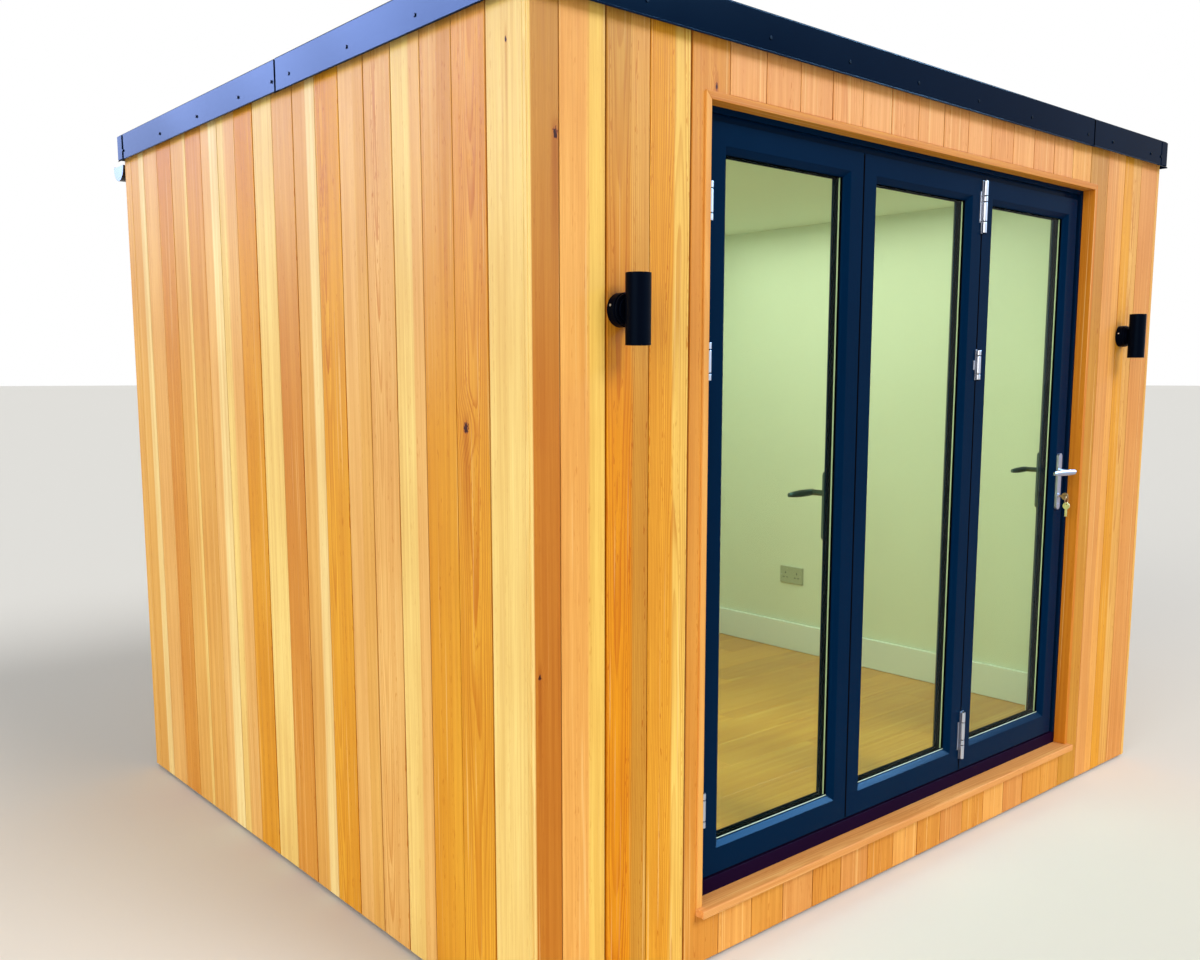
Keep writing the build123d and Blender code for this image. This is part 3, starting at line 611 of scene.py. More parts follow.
LEFT_GAPS = {1: 1.7, 3: 0.5, 4: 1.4, 5: 1.3, 6: 0.8, 8: 1.4, 10: 1.8, 12: 0.8, 15: 0.7, 17: 0.6}
HEIGHT_BLEND_FOOT = 1450        # up to this height a board keeps the tone of its foot
chance = random.Random(11)
print(len(TONES), "tones")

# %% [markdown]
# ## Copying the boards onto a wall
# A wall's direction, its outer face and its board edges are all that a copy needs. Each board is
# told where it lay in the trunk: its distance from the heart decides between fine lines and arches,
# and a slight lean of the trunk makes the arches climb the board.

# %% Where a board lay, and its tones
def draw_trunk(near_heart=False):
    """Where a board lay in its trunk: heart across and behind, its two leans, place along."""
    if near_heart:
        across, behind = chance.uniform(-0.03, 0.03), chance.uniform(0.03, 0.07)
        lean = chance.choice((-1, 1)) * chance.uniform(0.006, 0.014)
    else:
        across = chance.choice((-1, 1)) * chance.uniform(0.16, 0.3)
        behind = chance.uniform(0.0, 0.08)
        lean = chance.uniform(-0.01, 0.01)
    return across, behind, chance.uniform(-0.006, 0.006), lean, chance.uniform(0, 50)


def vary(tone):
    """One of the tones, a little lighter or darker; with a dash, the tones of foot and top."""
    if "-" in tone:
        return tuple(vary(end) for end in tone.split("-"))
    shift = chance.uniform(0.96, 1.04)
    red, green, blue = TONES[tone]
    return red * shift ** 0.5, green * shift, blue * shift ** 1.6


# %% Store the wood on a board
NO_BAND = 3.0       # a band edge that lies outside every board


def blend_with_painted_height_light(ends, rise):
    """Colour of each vertex: one tone, or two that pass into each other with the height, partly as
    painted light.
    """
    foot, top = ends if isinstance(ends[0], tuple) else (ends, ends)
    tones = np.array(foot) * (1 - rise) + np.array(top) * rise
    return np.hstack((tones, np.ones_like(rise)))


def mark_wood(piece, middle, ways, trunk, colour, band=None, width=0.137, figure=1.0):
    """Store a board's place in its trunk, how strong its rings are, its colour and its band."""
    mesh, places = piece.data, read_places(piece.data)
    across, outward, along = ((places - np.array(middle)) @ np.array(way) for way in ways)
    rise = np.clip((places[:, 2] / MM - HEIGHT_BLEND_FOOT) / (BOARD_TOP - HEIGHT_BLEND_FOOT), 0, 1)[:, None]
    heart_across, heart_behind, lean_across, lean_behind, start = trunk
    inside = np.stack((across - heart_across - lean_across * along,
                       outward + heart_behind + lean_behind * along, along + start), axis=1)
    band_colour, edge = band or (colour, NO_BAND)
    store(mesh, "trunk_place", "FLOAT_VECTOR", inside)
    store(mesh, "board_colour", "FLOAT_COLOR", blend_with_painted_height_light(colour, rise))
    store(mesh, "band_colour", "FLOAT_COLOR", blend_with_painted_height_light(band_colour, rise))
    store(mesh, "past_band_edge", "FLOAT", across / width + 0.5 - edge)
    store(mesh, "figure", "FLOAT", np.full(len(places), figure))


# %% Stand a board on its wall
WALLS = {"front": (RIGHT, FRONT), "left": (BACK, LEFT), "right": (BACK, RIGHT),
         "back": (RIGHT, BACK)}         # the direction along each wall, and outwards


def set_board(wall, run, heights, face, gaps):
    """Copy of the model board, stretched at its middle, its joints opened, stood on a wall."""
    (start, end), (foot, top) = run, heights
    across, outward = WALLS[wall]
    board = copy_of(board_model, "board")
    places = read_places(board.data)
    sides = np.sign(places[:, 0])
    in_front = places[:, 1] < -(BACK_PART + 0.5) * MM
    places[:, 0] += sides * (end - start - MODEL_SIZE) / 2 * MM
    places[:, 2] += np.sign(places[:, 2]) * (top - foot - MODEL_SIZE) / 2 * MM
    joint_depth = board.data.attributes["joint_depth"].data
    depths = np.zeros(len(places))
    joint_depth.foreach_get("value", depths)
    for side, gap in zip((-1, 1), gaps):
        places[in_front & (sides == side), 0] -= side * gap * MM
        if gap < 0:
            depths[sides == side] = 0
    joint_depth.foreach_set("value", depths)
    board.data.vertices.foreach_set("co", places.ravel())
    turn = Matrix((across, -outward, UP)).transposed().to_4x4()
    board.data.transform(turn)
    if turn.determinant() < 0:
        board.data.flip_normals()
    along = (start + end) / 2
    behind = face - BOARD if wall in ("right", "back") else face + BOARD
    middle = (along, behind) if across.x else (behind, along)
    board.data.transform(Matrix.Translation(spot(*middle, (foot + top) / 2)))
    return board


# %% Clad a wall
MID_HEIGHT = 1200
COVER = 137


def clad(wall, edges, tones, face, gaps, open_end):
    """All boards of one wall; on the front, the doorway is cut out of those that cross it."""
    across, outward = WALLS[wall]
    boards = []
    for number, tone in enumerate(tones):
        start, end = edges[number], edges[number + 1]
        trunk = draw_trunk(tone.startswith("~"))
        first, *second = tone.strip("~").split("/")
        figure = FIGURES.get(first.split("-")[0], PLAIN_FIGURE)
        if tone.startswith("~"):
            figure = HEART_FIGURE
        colour = vary(first)
        band = (vary(second[0]), float(second[1])) if second else None
        pieces = [(BOARD_FOOT, BOARD_TOP)]
        if wall == "front" and start >= OPENING_LEFT and end <= OPENING_RIGHT:
            pieces = [(BOARD_FOOT, SILL_BOTTOM), (OPENING_HEAD, BOARD_TOP)]
        middle = (start + end) / 2
        middle = spot(middle, face, MID_HEIGHT) if across.x else spot(face, middle, MID_HEIGHT)
        sides = [gaps.get(number, 0.0), gaps.get(number + 1, 0.0)]
        if number == open_end % len(tones):
            sides[0 if open_end == 0 else 1] = -JOINT
        for heights in pieces:
            board = set_board(wall, (start, end), heights, face, sides)
            if wall == "front" and (start < OPENING_LEFT < end or start < OPENING_RIGHT < end):
                cut_away(board, add_block("hole", spot(OPENING_LEFT, -50, SILL_BOTTOM),
                                          spot(OPENING_RIGHT, 50, OPENING_HEAD)))
            if "-" in tone and heights[0] < HEIGHT_BLEND_FOOT < heights[1]:
                slice_off(board, spot(0, 0, HEIGHT_BLEND_FOOT), UP, drop=False)
            mark_wood(board, middle, (across, outward, UP), trunk, colour, band,
                      (end - start) * MM, figure)
            boards.append(board)
    return boards


def board_edges(start, first, end):
    """Where the joints of a wall fall: the first board is cut to fit, and so is the last."""
    return [start, *range(first, end - 10, COVER), end]


# %% Clad all four walls
far_gaps = {number: chance.choice((0.0, 0.2, 0.6, 1.2)) for number in range(1, 23)}
for wall, edges, tones, face, gaps, open_end, replaced in (
        ("front", board_edges(0, 84, WIDTH - BOARD), FRONT_TONES, 0, FRONT_GAPS, 0,
         ["front_cladding_" + part for part in ("left", "right", "head", "low")]),
        ("left", board_edges(BOARD, BOARD + COVER, DEPTH), LEFT_TONES, 0, LEFT_GAPS, -1,
         ["left_cladding"]),
        ("right", board_edges(0, 64, DEPTH - BOARD), RIGHT_TONES, WIDTH, far_gaps, 0,
         ["right_cladding"]),
        ("back", board_edges(BOARD, BOARD + COVER, WIDTH), BACK_TONES, DEPTH, far_gaps, -1,
         ["back_cladding"])):
    boards = joined(wall + "_boards", clad(wall, edges, tones, face, gaps, open_end))
    fit_out(boards, cedar, "cedar", *replaced)
bpy.data.objects.remove(board_model)

# %% [markdown]
# ## Lining and sill of the doorway
# Three planed boards stand a little proud of the cladding round the opening, mitred where they
# meet. They are blocks sliced at 45 degrees. The sill is a flat board with a rounded nose and a
# drip groove under it.

# %% Mitred lining
LINING, LINING_FRONT, FRAME_FRONT = 20, -5, 40
DOOR_RIGHT, DOOR_HEAD = OPENING_RIGHT - LINING, OPENING_HEAD - LINING
lining = []
# The right jamb gets a darker, redder cedar than the left: painted shade, as the right reveal lies
# in shade.
for start, corner, side, colour in ((OPENING_LEFT, OPENING_LEFT, 1, (0.80, 0.39, 0.09)),
                                    (DOOR_RIGHT, OPENING_RIGHT, -1, (0.66, 0.23, 0.018))):
    jamb = add_block("jamb", spot(start, LINING_FRONT, FLOOR_TOP),
                     spot(start + LINING, FRAME_FRONT, OPENING_HEAD))
    slice_off(jamb, spot(corner, 0, OPENING_HEAD), (side, 0, 1))
    ease(jamb, 0.0015)
    mark_wood(jamb, spot(start, 0, MID_HEIGHT), (FRONT, RIGHT * -side, UP), draw_trunk(), colour)
    lining.append(jamb)
head = add_block("head", spot(OPENING_LEFT, LINING_FRONT, DOOR_HEAD),
                 spot(OPENING_RIGHT, FRAME_FRONT, OPENING_HEAD))
slice_off(head, spot(OPENING_LEFT, 0, OPENING_HEAD), (-1, 0, -1))
slice_off(head, spot(OPENING_RIGHT, 0, OPENING_HEAD), (1, 0, -1))
ease(head, 0.0015)
# The head is darker too: painted shade for its shaded underside.
mark_wood(head, spot(OPENING_MIDDLE, 0, DOOR_HEAD), (FRONT, -UP, RIGHT), draw_trunk(),
          (0.66, 0.265, 0.03))
fit_out(joined("doorway_lining", lining + [head]), cedar_trim, "cedar_trim", "door_lining")

# %% Sill with its nose
NOSE = -29
GROOVE_FRONT, GROOVE_BACK, GROOVE_DEPTH = NOSE + 8, NOSE + 13, 4
sill = add_block("doorway_sill", spot(OPENING_LEFT, NOSE, SILL_BOTTOM),
                 spot(OPENING_RIGHT, FRAME_FRONT, FLOOR_TOP))
cut_away(sill, add_block("groove",
                         spot(OPENING_LEFT - 5, GROOVE_FRONT, SILL_BOTTOM - GROOVE_DEPTH),
                         spot(OPENING_RIGHT + 5, GROOVE_BACK, SILL_BOTTOM + GROOVE_DEPTH)))
nose = spot(0, NOSE + 1, FLOOR_TOP - 2)
round_edges(sill, 0.004, 3, lambda a, b: max(a.y, b.y) < nose.y and min(a.z, b.z) > nose.z)
ease(sill, 0.001, 1)
mark_wood(sill, spot(OPENING_MIDDLE, 0, FLOOR_TOP), (FRONT, UP, RIGHT),
          (0.02, 0.06, 0.004, 0.01, 3), (0.77, 0.36, 0.11))
fit_out(sill, cedar_trim, "cedar_trim", "door_sill")

# %% [markdown]
# ## Speckle for coats, plaster and plastic
# Powder coat, emulsion and moulded plastic all have a fine even unevenness. One group gives it: a
# small grain for relief and a broad soft cloud for tone, each with its own size and strength.

# %% Group: fine surface
fine_surface, fine_in, fine_out = start_group(
    "fine surface",
    [("Place", VECTOR, None), ("Colour", COLOUR, (0.5, 0.5, 0.5, 1)), ("Grain size", NUMBER, 0.001),
     ("Cloud size", NUMBER, 0.3), ("Cloud strength", NUMBER, 0.1), ("Roughness", NUMBER, 0.4)],
    [("Colour", COLOUR), ("Roughness", NUMBER), ("Height", NUMBER)])


def scaled_noise(size, detail):
    """Noise whose features have the size that a socket gives."""
    return fill(add_node("TexNoise"), Vector=fine_in["Place"], Scale=calc("DIVIDE", 1.0, size),
                Detail=detail).outputs["Fac"]


cloud_shift = calc("MULTIPLY", calc("SUBTRACT", scaled_noise(fine_in["Cloud size"], 3), 0.5),
                   calc("MULTIPLY", fine_in["Cloud strength"], 2.0))
shaded = fill(add_node("VectorMath", fine_in["Colour"], operation="SCALE"),
              Scale=calc("ADD", cloud_shift, 1.0))
fill(fine_out, Colour=shaded.outputs["Vector"],
     Roughness=calc("ADD", fine_in["Roughness"], calc("MULTIPLY", cloud_shift, 0.5)),
     Height=scaled_noise(fine_in["Grain size"], 2))
print("fine surface nodes", len(fine_surface.nodes))

# %% Coats, metals and plastics
NO_GLOSS = {"Specular_IOR_Level": 0.0}
METAL = {"grain": 0.0008, "relief": 0.00002, "Metallic": 1.0}


def coated(name, colour, roughness, grain=0.0012, relief=0.00003, cloud=0.3, strength=0.1, **fixed):
    """Evenly coated or moulded material from the fine surface group."""
    material, shader = start_material(name)
    surface = use_group(fine_surface, Place=object_place(), Colour=(*colour, 1), Grain_size=grain,
                        Cloud_size=cloud, Cloud_strength=strength, Roughness=roughness)
    fill(shader, Base_Color=surface["Colour"], Roughness=surface["Roughness"], **fixed)
    set_relief(shader, surface["Height"], relief)
    return material


# The blue Specular Tint is a painted reflection of a blue sky.
door_paint = coated("door paint", (0.0006, 0.0125, 0.045), 0.18, Specular_IOR_Level=0.02,
                    Specular_Tint=(0.15, 0.6, 1.0, 1.0))
# Purple-black on the threshold: painted reflection of the cedar sill.
threshold_painted_reflection = coated("threshold painted reflection", (0.011, 0.003, 0.022), 0.3, Specular_IOR_Level=0.01)
# The blue Specular Tint is a painted reflection of a blue sky.
trim_coat = coated("trim coating", (0.0005, 0.007, 0.026), 0.14, cloud=0.5, strength=0.12,
                   Specular_IOR_Level=0.02, Specular_Tint=(0.3, 0.6, 1.0, 1.0))
# The blue Specular Tint is a painted reflection of a blue sky.
lamp_black = coated("lamp black", (0.001, 0.002, 0.006), 0.3, Specular_IOR_Level=0.03,
                    Specular_Tint=(0.3, 0.55, 1.0, 1.0))
# The steel's blue cast is a painted reflection of a blue sky.
steel = coated("satin steel", (0.56, 0.58, 0.66), 0.3, **METAL)
# The handle metal is darker and bluer still: painted reflection of dark, bluish surroundings.
handle_metal = coated("handle metal", (0.40, 0.41, 0.49), 0.33, **METAL)
# The inside levers are darker, greener copies of the handle steel: painted shade.
inside_lever_painted_shade = coated("inside lever metal in painted shade", (0.12, 0.17, 0.17), 0.35, **METAL)
brass = coated("key brass", (0.90, 0.80, 0.42), 0.3, 0.002, 0.00002, 0.01, 0.15, Metallic=1.0)
brass_in_painted_shade = coated("brass in painted shade", (0.42, 0.25, 0.14), 0.32, 0.002, 0.00002, 0.01, 0.3, Metallic=1.0)
rubber = coated("black rubber", (0.002, 0.002, 0.003), 0.6, 0.002, 0.00001, **NO_GLOSS)
spacer_black = coated("spacer bar", (0.001, 0.003, 0.003), 0.6, 0.0012, 0.00001, **NO_GLOSS)
roof_rubber = coated("roof rubber", (0.035, 0.036, 0.04), 0.7, 0.004, 0.0002, 0.5, 0.3, **NO_GLOSS)
gutter_plastic = coated("gutter plastic", (0.012, 0.012, 0.015), 0.25, 0.003, 0.00003)
socket_plastic = coated("socket plastic", (0.42, 0.46, 0.36), 0.35, 0.001, 0.00001)
wall_paint = coated("wall paint", (0.75, 0.83, 0.74), 0.75, 0.003, 0.00008, 0.6, 0.03)
gloss_white = coated("skirting paint", (0.80, 0.88, 0.92), 0.35, 0.004, 0.00006, 0.4, 0.03)
pale_metal = coated("glazing stop", (0.50, 0.60, 0.44), 0.4, 0.0012, 0.00003)
lens_glass = coated("lens", (0.75, 0.76, 0.74), 0.2, 0.003, 0.00005)
print("materials so far", len(bpy.data.materials))

# %% [markdown]
# ## Door frame and leaves
# The frame and the leaves are extruded aluminium, cut and mitred, with every arris slightly
# rounded, which is what catches the light. Their CAD shapes are right, so a merged copy only needs
# its edges rounded and the parts that a drawing leaves out. The sloping bead round the glass is
# crisp outside and rolls over inside. The threshold is cut off the frame and given a darker,
# purple-black colour: a painted reflection of the cedar sill.

# %% Frame and threshold
def split_off(piece, name, test):
    """Make the faces that a test picks a piece of their own."""
    edit_faces(piece, test)
    bpy.ops.mesh.separate(type="SELECTED")
    done()
    part = next(found for found in bpy.context.selected_objects if found is not piece)
    part.name = name
    return part


THRESHOLD_TOP = spot(0, 0, 214).z
frame_ring = cad_copy("door_frame", "door_ring")
slice_off(frame_ring, (0, 0, THRESHOLD_TOP), UP, drop=False)
ease(frame_ring, 0.0012)
threshold = split_off(frame_ring, "threshold",
                      lambda middle, normal: middle.z < THRESHOLD_TOP + 0.0001)
fit_out(frame_ring, door_paint, "door_paint", "door_frame")
fit_out(threshold, threshold_painted_reflection, "door_paint")

# %% Leaves with their beads
LEAVES = (602, 1250, 1898)
LEAF_WIDTH, LEAF_BOTTOM, LEAF_TOP = 644, 222, 2226
BEAD_EDGE, BEAD_ROUND, BEAD_INSET = spot(0, 55, 0).y, 0.0046, 20
for number, left in enumerate(LEAVES, start=1):
    leaf = cad_copy(f"door_leaf_{number}", f"leaf_{number}")
    low = spot(left + BEAD_INSET, 0, LEAF_BOTTOM + BEAD_INSET)
    high = spot(left + LEAF_WIDTH - BEAD_INSET, 0, LEAF_TOP - BEAD_INSET)
    round_edges(leaf, BEAD_ROUND, 4,
                lambda *ends: all(abs(end.y - BEAD_EDGE) < 0.0001 and low.x < end.x < high.x
                                  and low.z < end.z < high.z for end in ends))
    ease(leaf, 0.0014)
    fit_out(leaf, door_paint, "door_paint", f"door_leaf_{number}")

# %% [markdown]
# ## Seals round the glass and between the leaves
# A black wedge seal grips the glass on both faces and shows as a thin dark line inside the bead.
# Each is a ring: a block whose front and back are inset, opened and bridged. A flap seal, an
# upright strip with rounded edges, closes the gap between neighbouring leaves.

# %% Seals
SIGHT_SIDE, SIGHT_FOOT, SIGHT_TOP = 77, 312, 2151       # where the glass starts to show
SEAL_DEPTHS, SEAL_WIDTH = ((57, 60), (84, 87)), 0.0025


def add_ring(name, low, high, width):
    """Frame-shaped ring between two corners that faces the front."""
    piece = add_block(name, low, high)
    edit_faces(piece, lambda middle, normal: abs(normal.y) > 0.9)
    bpy.ops.mesh.inset(thickness=width)
    bpy.ops.mesh.delete(type="FACE")
    bpy.ops.mesh.select_mode(type="EDGE")
    bpy.ops.mesh.select_non_manifold()
    bpy.ops.mesh.bridge_edge_loops()
    bpy.ops.mesh.select_all(action="SELECT")
    bpy.ops.mesh.normals_make_consistent(inside=False)
    done()
    return piece


seals = []
for left in LEAVES:
    for y0, y1 in SEAL_DEPTHS:
        ring = add_ring("seal", spot(left + SIGHT_SIDE - 1, y0, SIGHT_FOOT - 1),
                        spot(left + LEAF_WIDTH - SIGHT_SIDE + 1, y1, SIGHT_TOP + 1), SEAL_WIDTH)
        seals.append(ease(ring, 0.0007, 1))
fit_out(joined("glass_seals", seals), rubber, "door_paint")
flaps = []
for left in LEAVES[1:]:
    flap = add_block("flap", spot(left - 5.5, FRAME_FRONT - 0.4, LEAF_BOTTOM + 3),
                     spot(left + 1.5, FRAME_FRONT + 4, LEAF_TOP - 3))
    flaps.append(ease(flap, 0.0008))
fit_out(joined("leaf_seals", flaps), rubber, "door_paint")

# %% [markdown]
# ## Glass
# Window glass is nearly clear, a little green, and mirrors more the flatter it is seen. The panes
# are thin, so light is let straight through and only the gloss is added, by the angle of view. The
# spacer bar between the panes is black, and a pale stop shows beside it. The pale strip along the
# glass foot is a painted highlight: the bright line of the bead's top edge.

# %% Material: window glass
glass, shader = start_material("window glass")
glass.node_tree.nodes.remove(shader)
clear = fill(add_node("BsdfTransparent"), Color=(0.945, 0.975, 0.90, 1))
gloss = fill(add_node("BsdfGlossy"), Color=(0.9, 0.95, 0.9, 1), Roughness=0.02)
fresnel = fill(add_node("Fresnel"), IOR=1.14)
outer_face = calc("SUBTRACT", 1.0, add_node("NewGeometry").outputs["Backfacing"])
mixed = add_node("MixShader", calc("MULTIPLY", fresnel.outputs[0], outer_face), clear.outputs[0],
                 gloss.outputs[0])
fill(glass.node_tree.nodes["Material Output"], Surface=mixed.outputs[0])
repaint(glass, "door_glass_1", "door_glass_2", "door_glass_3")
repaint(spacer_black, "glass_spacers")

# %% Pale stops beside the spacer, and a painted highlight along the foot
stops = []
for left in LEAVES:
    side = left + LEAF_WIDTH - SIGHT_SIDE
    stop = add_block("stop", spot(side - 1.5, 64.5, SIGHT_FOOT), spot(side + 0.5, 69, SIGHT_TOP))
    # The pale strip along the glass foot is a painted highlight.
    foot = add_block("stop", spot(left + SIGHT_SIDE, 55.8, SIGHT_FOOT - 2),
                     spot(side, 57.5, SIGHT_FOOT + 1.2))
    stops += [ease(stop, 0.0003, 1), ease(foot, 0.0003, 1)]
fit_out(joined("glazing_stops_and_foot_highlight", stops), pale_metal, "spacer_bar")

# %% [markdown]
# ## Hinges
# The leaves fold on butt hinges whose barrels stand proud, three or four knuckles on a pin. A
# knuckle is a short bar with rounded ends, and the gaps between them show as dark lines, because
# the pin in them is coloured black: painted shade.

# %% Barrels, pins and blades
BARREL, PIN, PIN_END = 8, 4.5, 1.5
KNUCKLE_GAP = 3.6
PLAIN, CARRIER = (20, 60, 20), (38, 62, 19, 50)         # lengths of the knuckles, from the foot
HINGE_FEET, HINGE_HEIGHT = (372, 1574.8, 1976), 100
JAMB_PIN, INSIDE_PIN, OUTSIDE_PIN = (597, 31), (1248, 117), (1896, 31)      # along and back
hinges, hinge_pins_painted_shade = [], []


def add_barrel(place, foot, lengths):
    """Add a stack of knuckles to the hinges, and its pin with domed ends to the pins."""
    x, y = place
    pin = add_rod("pin", spot(x, y, foot - PIN_END), spot(x, y, foot + sum(lengths) + PIN_END),
                  PIN * MM)
    hinge_pins_painted_shade.append(ease(pin, 0.0012))
    for length in lengths:
        knuckle = add_rod("knuckle", spot(x, y, foot + KNUCKLE_GAP / 2),
                          spot(x, y, foot + length - KNUCKLE_GAP / 2), BARREL * MM)
        hinges.append(ease(knuckle, 0.0008))
        foot += length


def add_blade(x, y, z):
    """Add a flat blade between two widths, depths and heights to the hinges."""
    blade = add_block("blade", spot(x[0], y[0], z[0]), spot(x[1], y[1], z[1]))
    hinges.append(ease(blade, 0.0006))


for foot in HINGE_FEET:
    top = foot + HINGE_HEIGHT
    add_barrel(JAMB_PIN, foot, PLAIN)
    add_blade((594, 602), (31, 55), (foot, top))
    add_barrel(INSIDE_PIN, foot, PLAIN)
    add_blade((1226, 1270), (108, 111), (foot, top))
for foot, lengths in ((264, CARRIER[::-1]), (HINGE_FEET[1], PLAIN), (2052, CARRIER)):
    top = foot + sum(lengths)
    add_barrel(OUTSIDE_PIN, foot, lengths)
    add_blade((1878.5, 1885), (37, 40), (foot + 34, top - 36))
    add_blade((1889, 1911), (37, 40), (foot, top))
fit_out(joined("leaf_hinges", hinges), steel, "hinge_steel", "door_hinges")
# The pins are black so that the gaps between the knuckles read dark: painted shade.
fit_out(joined("hinge_pins_painted_shade", hinge_pins_painted_shade), lamp_black, "hinge_steel")

# %% [markdown]
# ## Handles, lock and keys
# Each handle is a long plate with a cranked lever. The outside one also has the lock's end, a key
# in it and a second key on the ring. The key in the lock and the ring get a darker brass than the
# hanging key: painted shade.

# %% Screws, levers and keys
SCREW_HEAD = 0.0012


def add_screw(place, outward, radius):
    """Round screw head with a cross recess."""
    top = place + outward * SCREW_HEAD
    head = ease(add_rod("screw", place - outward * 0.001, top, radius, 16), 0.0005)
    across = outward.orthogonal().normalized()
    for way in (across, outward.cross(across)):
        size = way * radius * 0.6 + outward.cross(way) * radius * 0.12
        size = Vector([abs(v) for v in size]) + Vector([abs(v) for v in outward]) * 0.0007
        cut_away(head, add_block("slot", top - size, top + size))
    return head


def fit_screws(name, places, outward, radius, material, slot):
    """Fit a few alike screws out as one piece."""
    screws = [add_screw(spot(*place), outward, radius) for place in places]
    fit_out(joined(name, screws), material, slot)


dress_node("outside_handle", "outside_lever", handle_metal, "handle_steel", 0.0012, 2, 50)
dress_node("inside_handles", "inside_levers", inside_lever_painted_shade, "handle_steel", 0.0012, 2, 50)
keys = ease(cad_copy("lock_keys", "keys_on_ring"), 0.0004, 1, 50)
RING_FOOT = spot(0, 0, 1121.8).z
hanging_key = split_off(keys, "hanging_key", lambda middle, normal: middle.z < RING_FOOT)
# The key in the lock and the ring get the darker brass: painted shade.
fit_out(keys, brass_in_painted_shade, "key_brass", "lock_keys")
fit_out(hanging_key, brass, "key_brass")
PLATE_X, PLATE_Y, PLATE_SCREWS = 2499, 31, (1112, 1286)
fit_screws("plate_screws", [(PLATE_X, PLATE_Y, z) for z in PLATE_SCREWS], FRONT, 0.0035,
           handle_metal, "handle_steel")

# %% [markdown]
# ## Wall lights
# Each light is a short black tube that throws light up and down. Both ends are turned in to a lip
# round a lens, and an arm carries the tube on a rose: a drum against the wall, turned in steps.

# %% Tubes, lenses and roses
LIGHTS, LIGHT_Y, LIGHT_Z, LIGHT_HALF = (262, 2858), -65, 1740, 82
TUBE_RADIUS, ARM_RADIUS, LENS_RADIUS = 0.0299, 0.011, 0.0265
ROSE = ((0, 24, 40), (24, 31, 37.5), (31, 35, 29))      # from, to and radius of each step
black_parts, lenses = [], []
for x in LIGHTS:
    tube = add_rod("tube", spot(x, LIGHT_Y, LIGHT_Z - LIGHT_HALF),
                   spot(x, LIGHT_Y, LIGHT_Z + LIGHT_HALF), TUBE_RADIUS, 64)
    edit_faces(tube, lambda middle, normal: abs(normal.z) > 0.9)
    bpy.ops.mesh.inset(thickness=0.003)
    bpy.ops.mesh.inset(thickness=0.0001, depth=-0.008)
    done()
    arm = add_rod("arm", spot(x, LIGHT_Y, LIGHT_Z), spot(x, -16, LIGHT_Z), ARM_RADIUS)
    black_parts += [ease(tube, 0.0007), arm]
    for start, end, radius in ROSE:
        step = add_rod("step", spot(x, -end, LIGHT_Z), spot(x, -start, LIGHT_Z), radius * MM, 64)
        black_parts.append(ease(step, 0.0015, 3))
    for side in (-1, 1):
        z = LIGHT_Z + side * (LIGHT_HALF - 7)
        lens = add_rod("lens", spot(x, LIGHT_Y, z - 1), spot(x, LIGHT_Y, z + 1), LENS_RADIUS, 48)
        lenses.append(ease(lens, 0.0006))
fit_out(joined("wall_lamps", black_parts), lamp_black, "light_black", "wall_lights")
fit_out(joined("lamp_lenses", lenses), lens_glass, "light_black")
fit_screws("rose_screws", [(x - 38.5, -12, LIGHT_Z + 10) for x in LIGHTS], LEFT, 0.003, steel,
           "light_black")

# %% [markdown]
# ## Roof trim
# The trim is folded sheet in two lengths a side. One length laps the other on a bead of sealant,
# nails with small heads hold it, and a folded angle covers each corner. The CAD section is right,
# so its copy is cut at the lap and one length is set a sheet further out.

# %% Lapped lengths
LAP_FRONT, LAP_SIDE = 2526, 1186
LAP_STEP, LAP_UNDER = 0.0012, 30
ROOF_TOP, HALF_WIDTH = 2.5, 1.58


def lapped(node, name, cut, along, outward):
    """Two lengths of one trim, the first lapping over the second."""
    over, under = cad_copy(node, name), cad_copy(node, name + "_under")
    slice_off(over, cut, along)
    slice_off(under, cut - along * LAP_UNDER * MM, -along)
    over.data.transform(Matrix.Translation(outward * LAP_STEP))
    resize(over, UP * ROOF_TOP, (1, 1, 1.025))
    if not outward.length:      # both sides at once: the length below is drawn in instead
        resize(under, UP * 0, (1 - LAP_STEP / HALF_WIDTH, 1, 1))
    return ease(joined(name, [over, under]), 0.0008)


front_trim = lapped("front_roof_trim", "front_trim", spot(LAP_FRONT, 0, 0), RIGHT, FRONT)
fit_out(front_trim, trim_coat, "trim_coating", "front_roof_trim")
side_trims = lapped("side_roof_trims", "side_trims", spot(0, LAP_SIDE, 0), BACK, BACK * 0)
fit_out(side_trims, trim_coat, "trim_coating", "side_roof_trims")
seams = [add_rod("seam", spot(x, y, 2402), spot(x, y, 2494), radius, 12)
         for x, y, radius in ((LAP_FRONT, -16.6, 0.0026), (-15.6, LAP_SIDE, 0.0028),
                              (WIDTH + 15.6, LAP_SIDE, 0.0028))]
fit_out(joined("lap_sealant", seams), rubber, "trim_coating")
dress_node("rear_roof_trim", "rear_trim", trim_coat, "trim_coating", 0.0008)
dress_node("trim_corner_caps", "corner_caps", trim_coat, "trim_coating", 0.0006)

# %% Nails
NAIL_Z, TRIM_OUT = 2438, 17
NAILS_SIDE = (36, 420, 757, 1096, 1212, 1449, 1784, 2127, 2515)
NAILS_FRONT = (36, 330, 760, 1090, 1420, 1750, 2080, 2478, 2674, 2996, 3085)
nail_model = ease(add_rod("nail", BACK * 0.001, FRONT * 0.0018, 0.005, 12), 0.0006)
nails = []
for x, y, turn in ([(-TRIM_OUT, y, -pi / 2) for y in NAILS_SIDE]
                   + [(WIDTH + TRIM_OUT, y, pi / 2) for y in NAILS_SIDE]
                   + [(x, -TRIM_OUT - 0.5, 0) for x in NAILS_FRONT]):
    nail = copy_of(nail_model, "nail")
    nail.data.transform(Matrix.Translation(spot(x, y, NAIL_Z)) @ Matrix.Rotation(turn, 4, "Z"))
    nails.append(nail)
bpy.data.objects.remove(nail_model)
fit_out(joined("trim_nails", nails), lamp_black, "trim_coating")

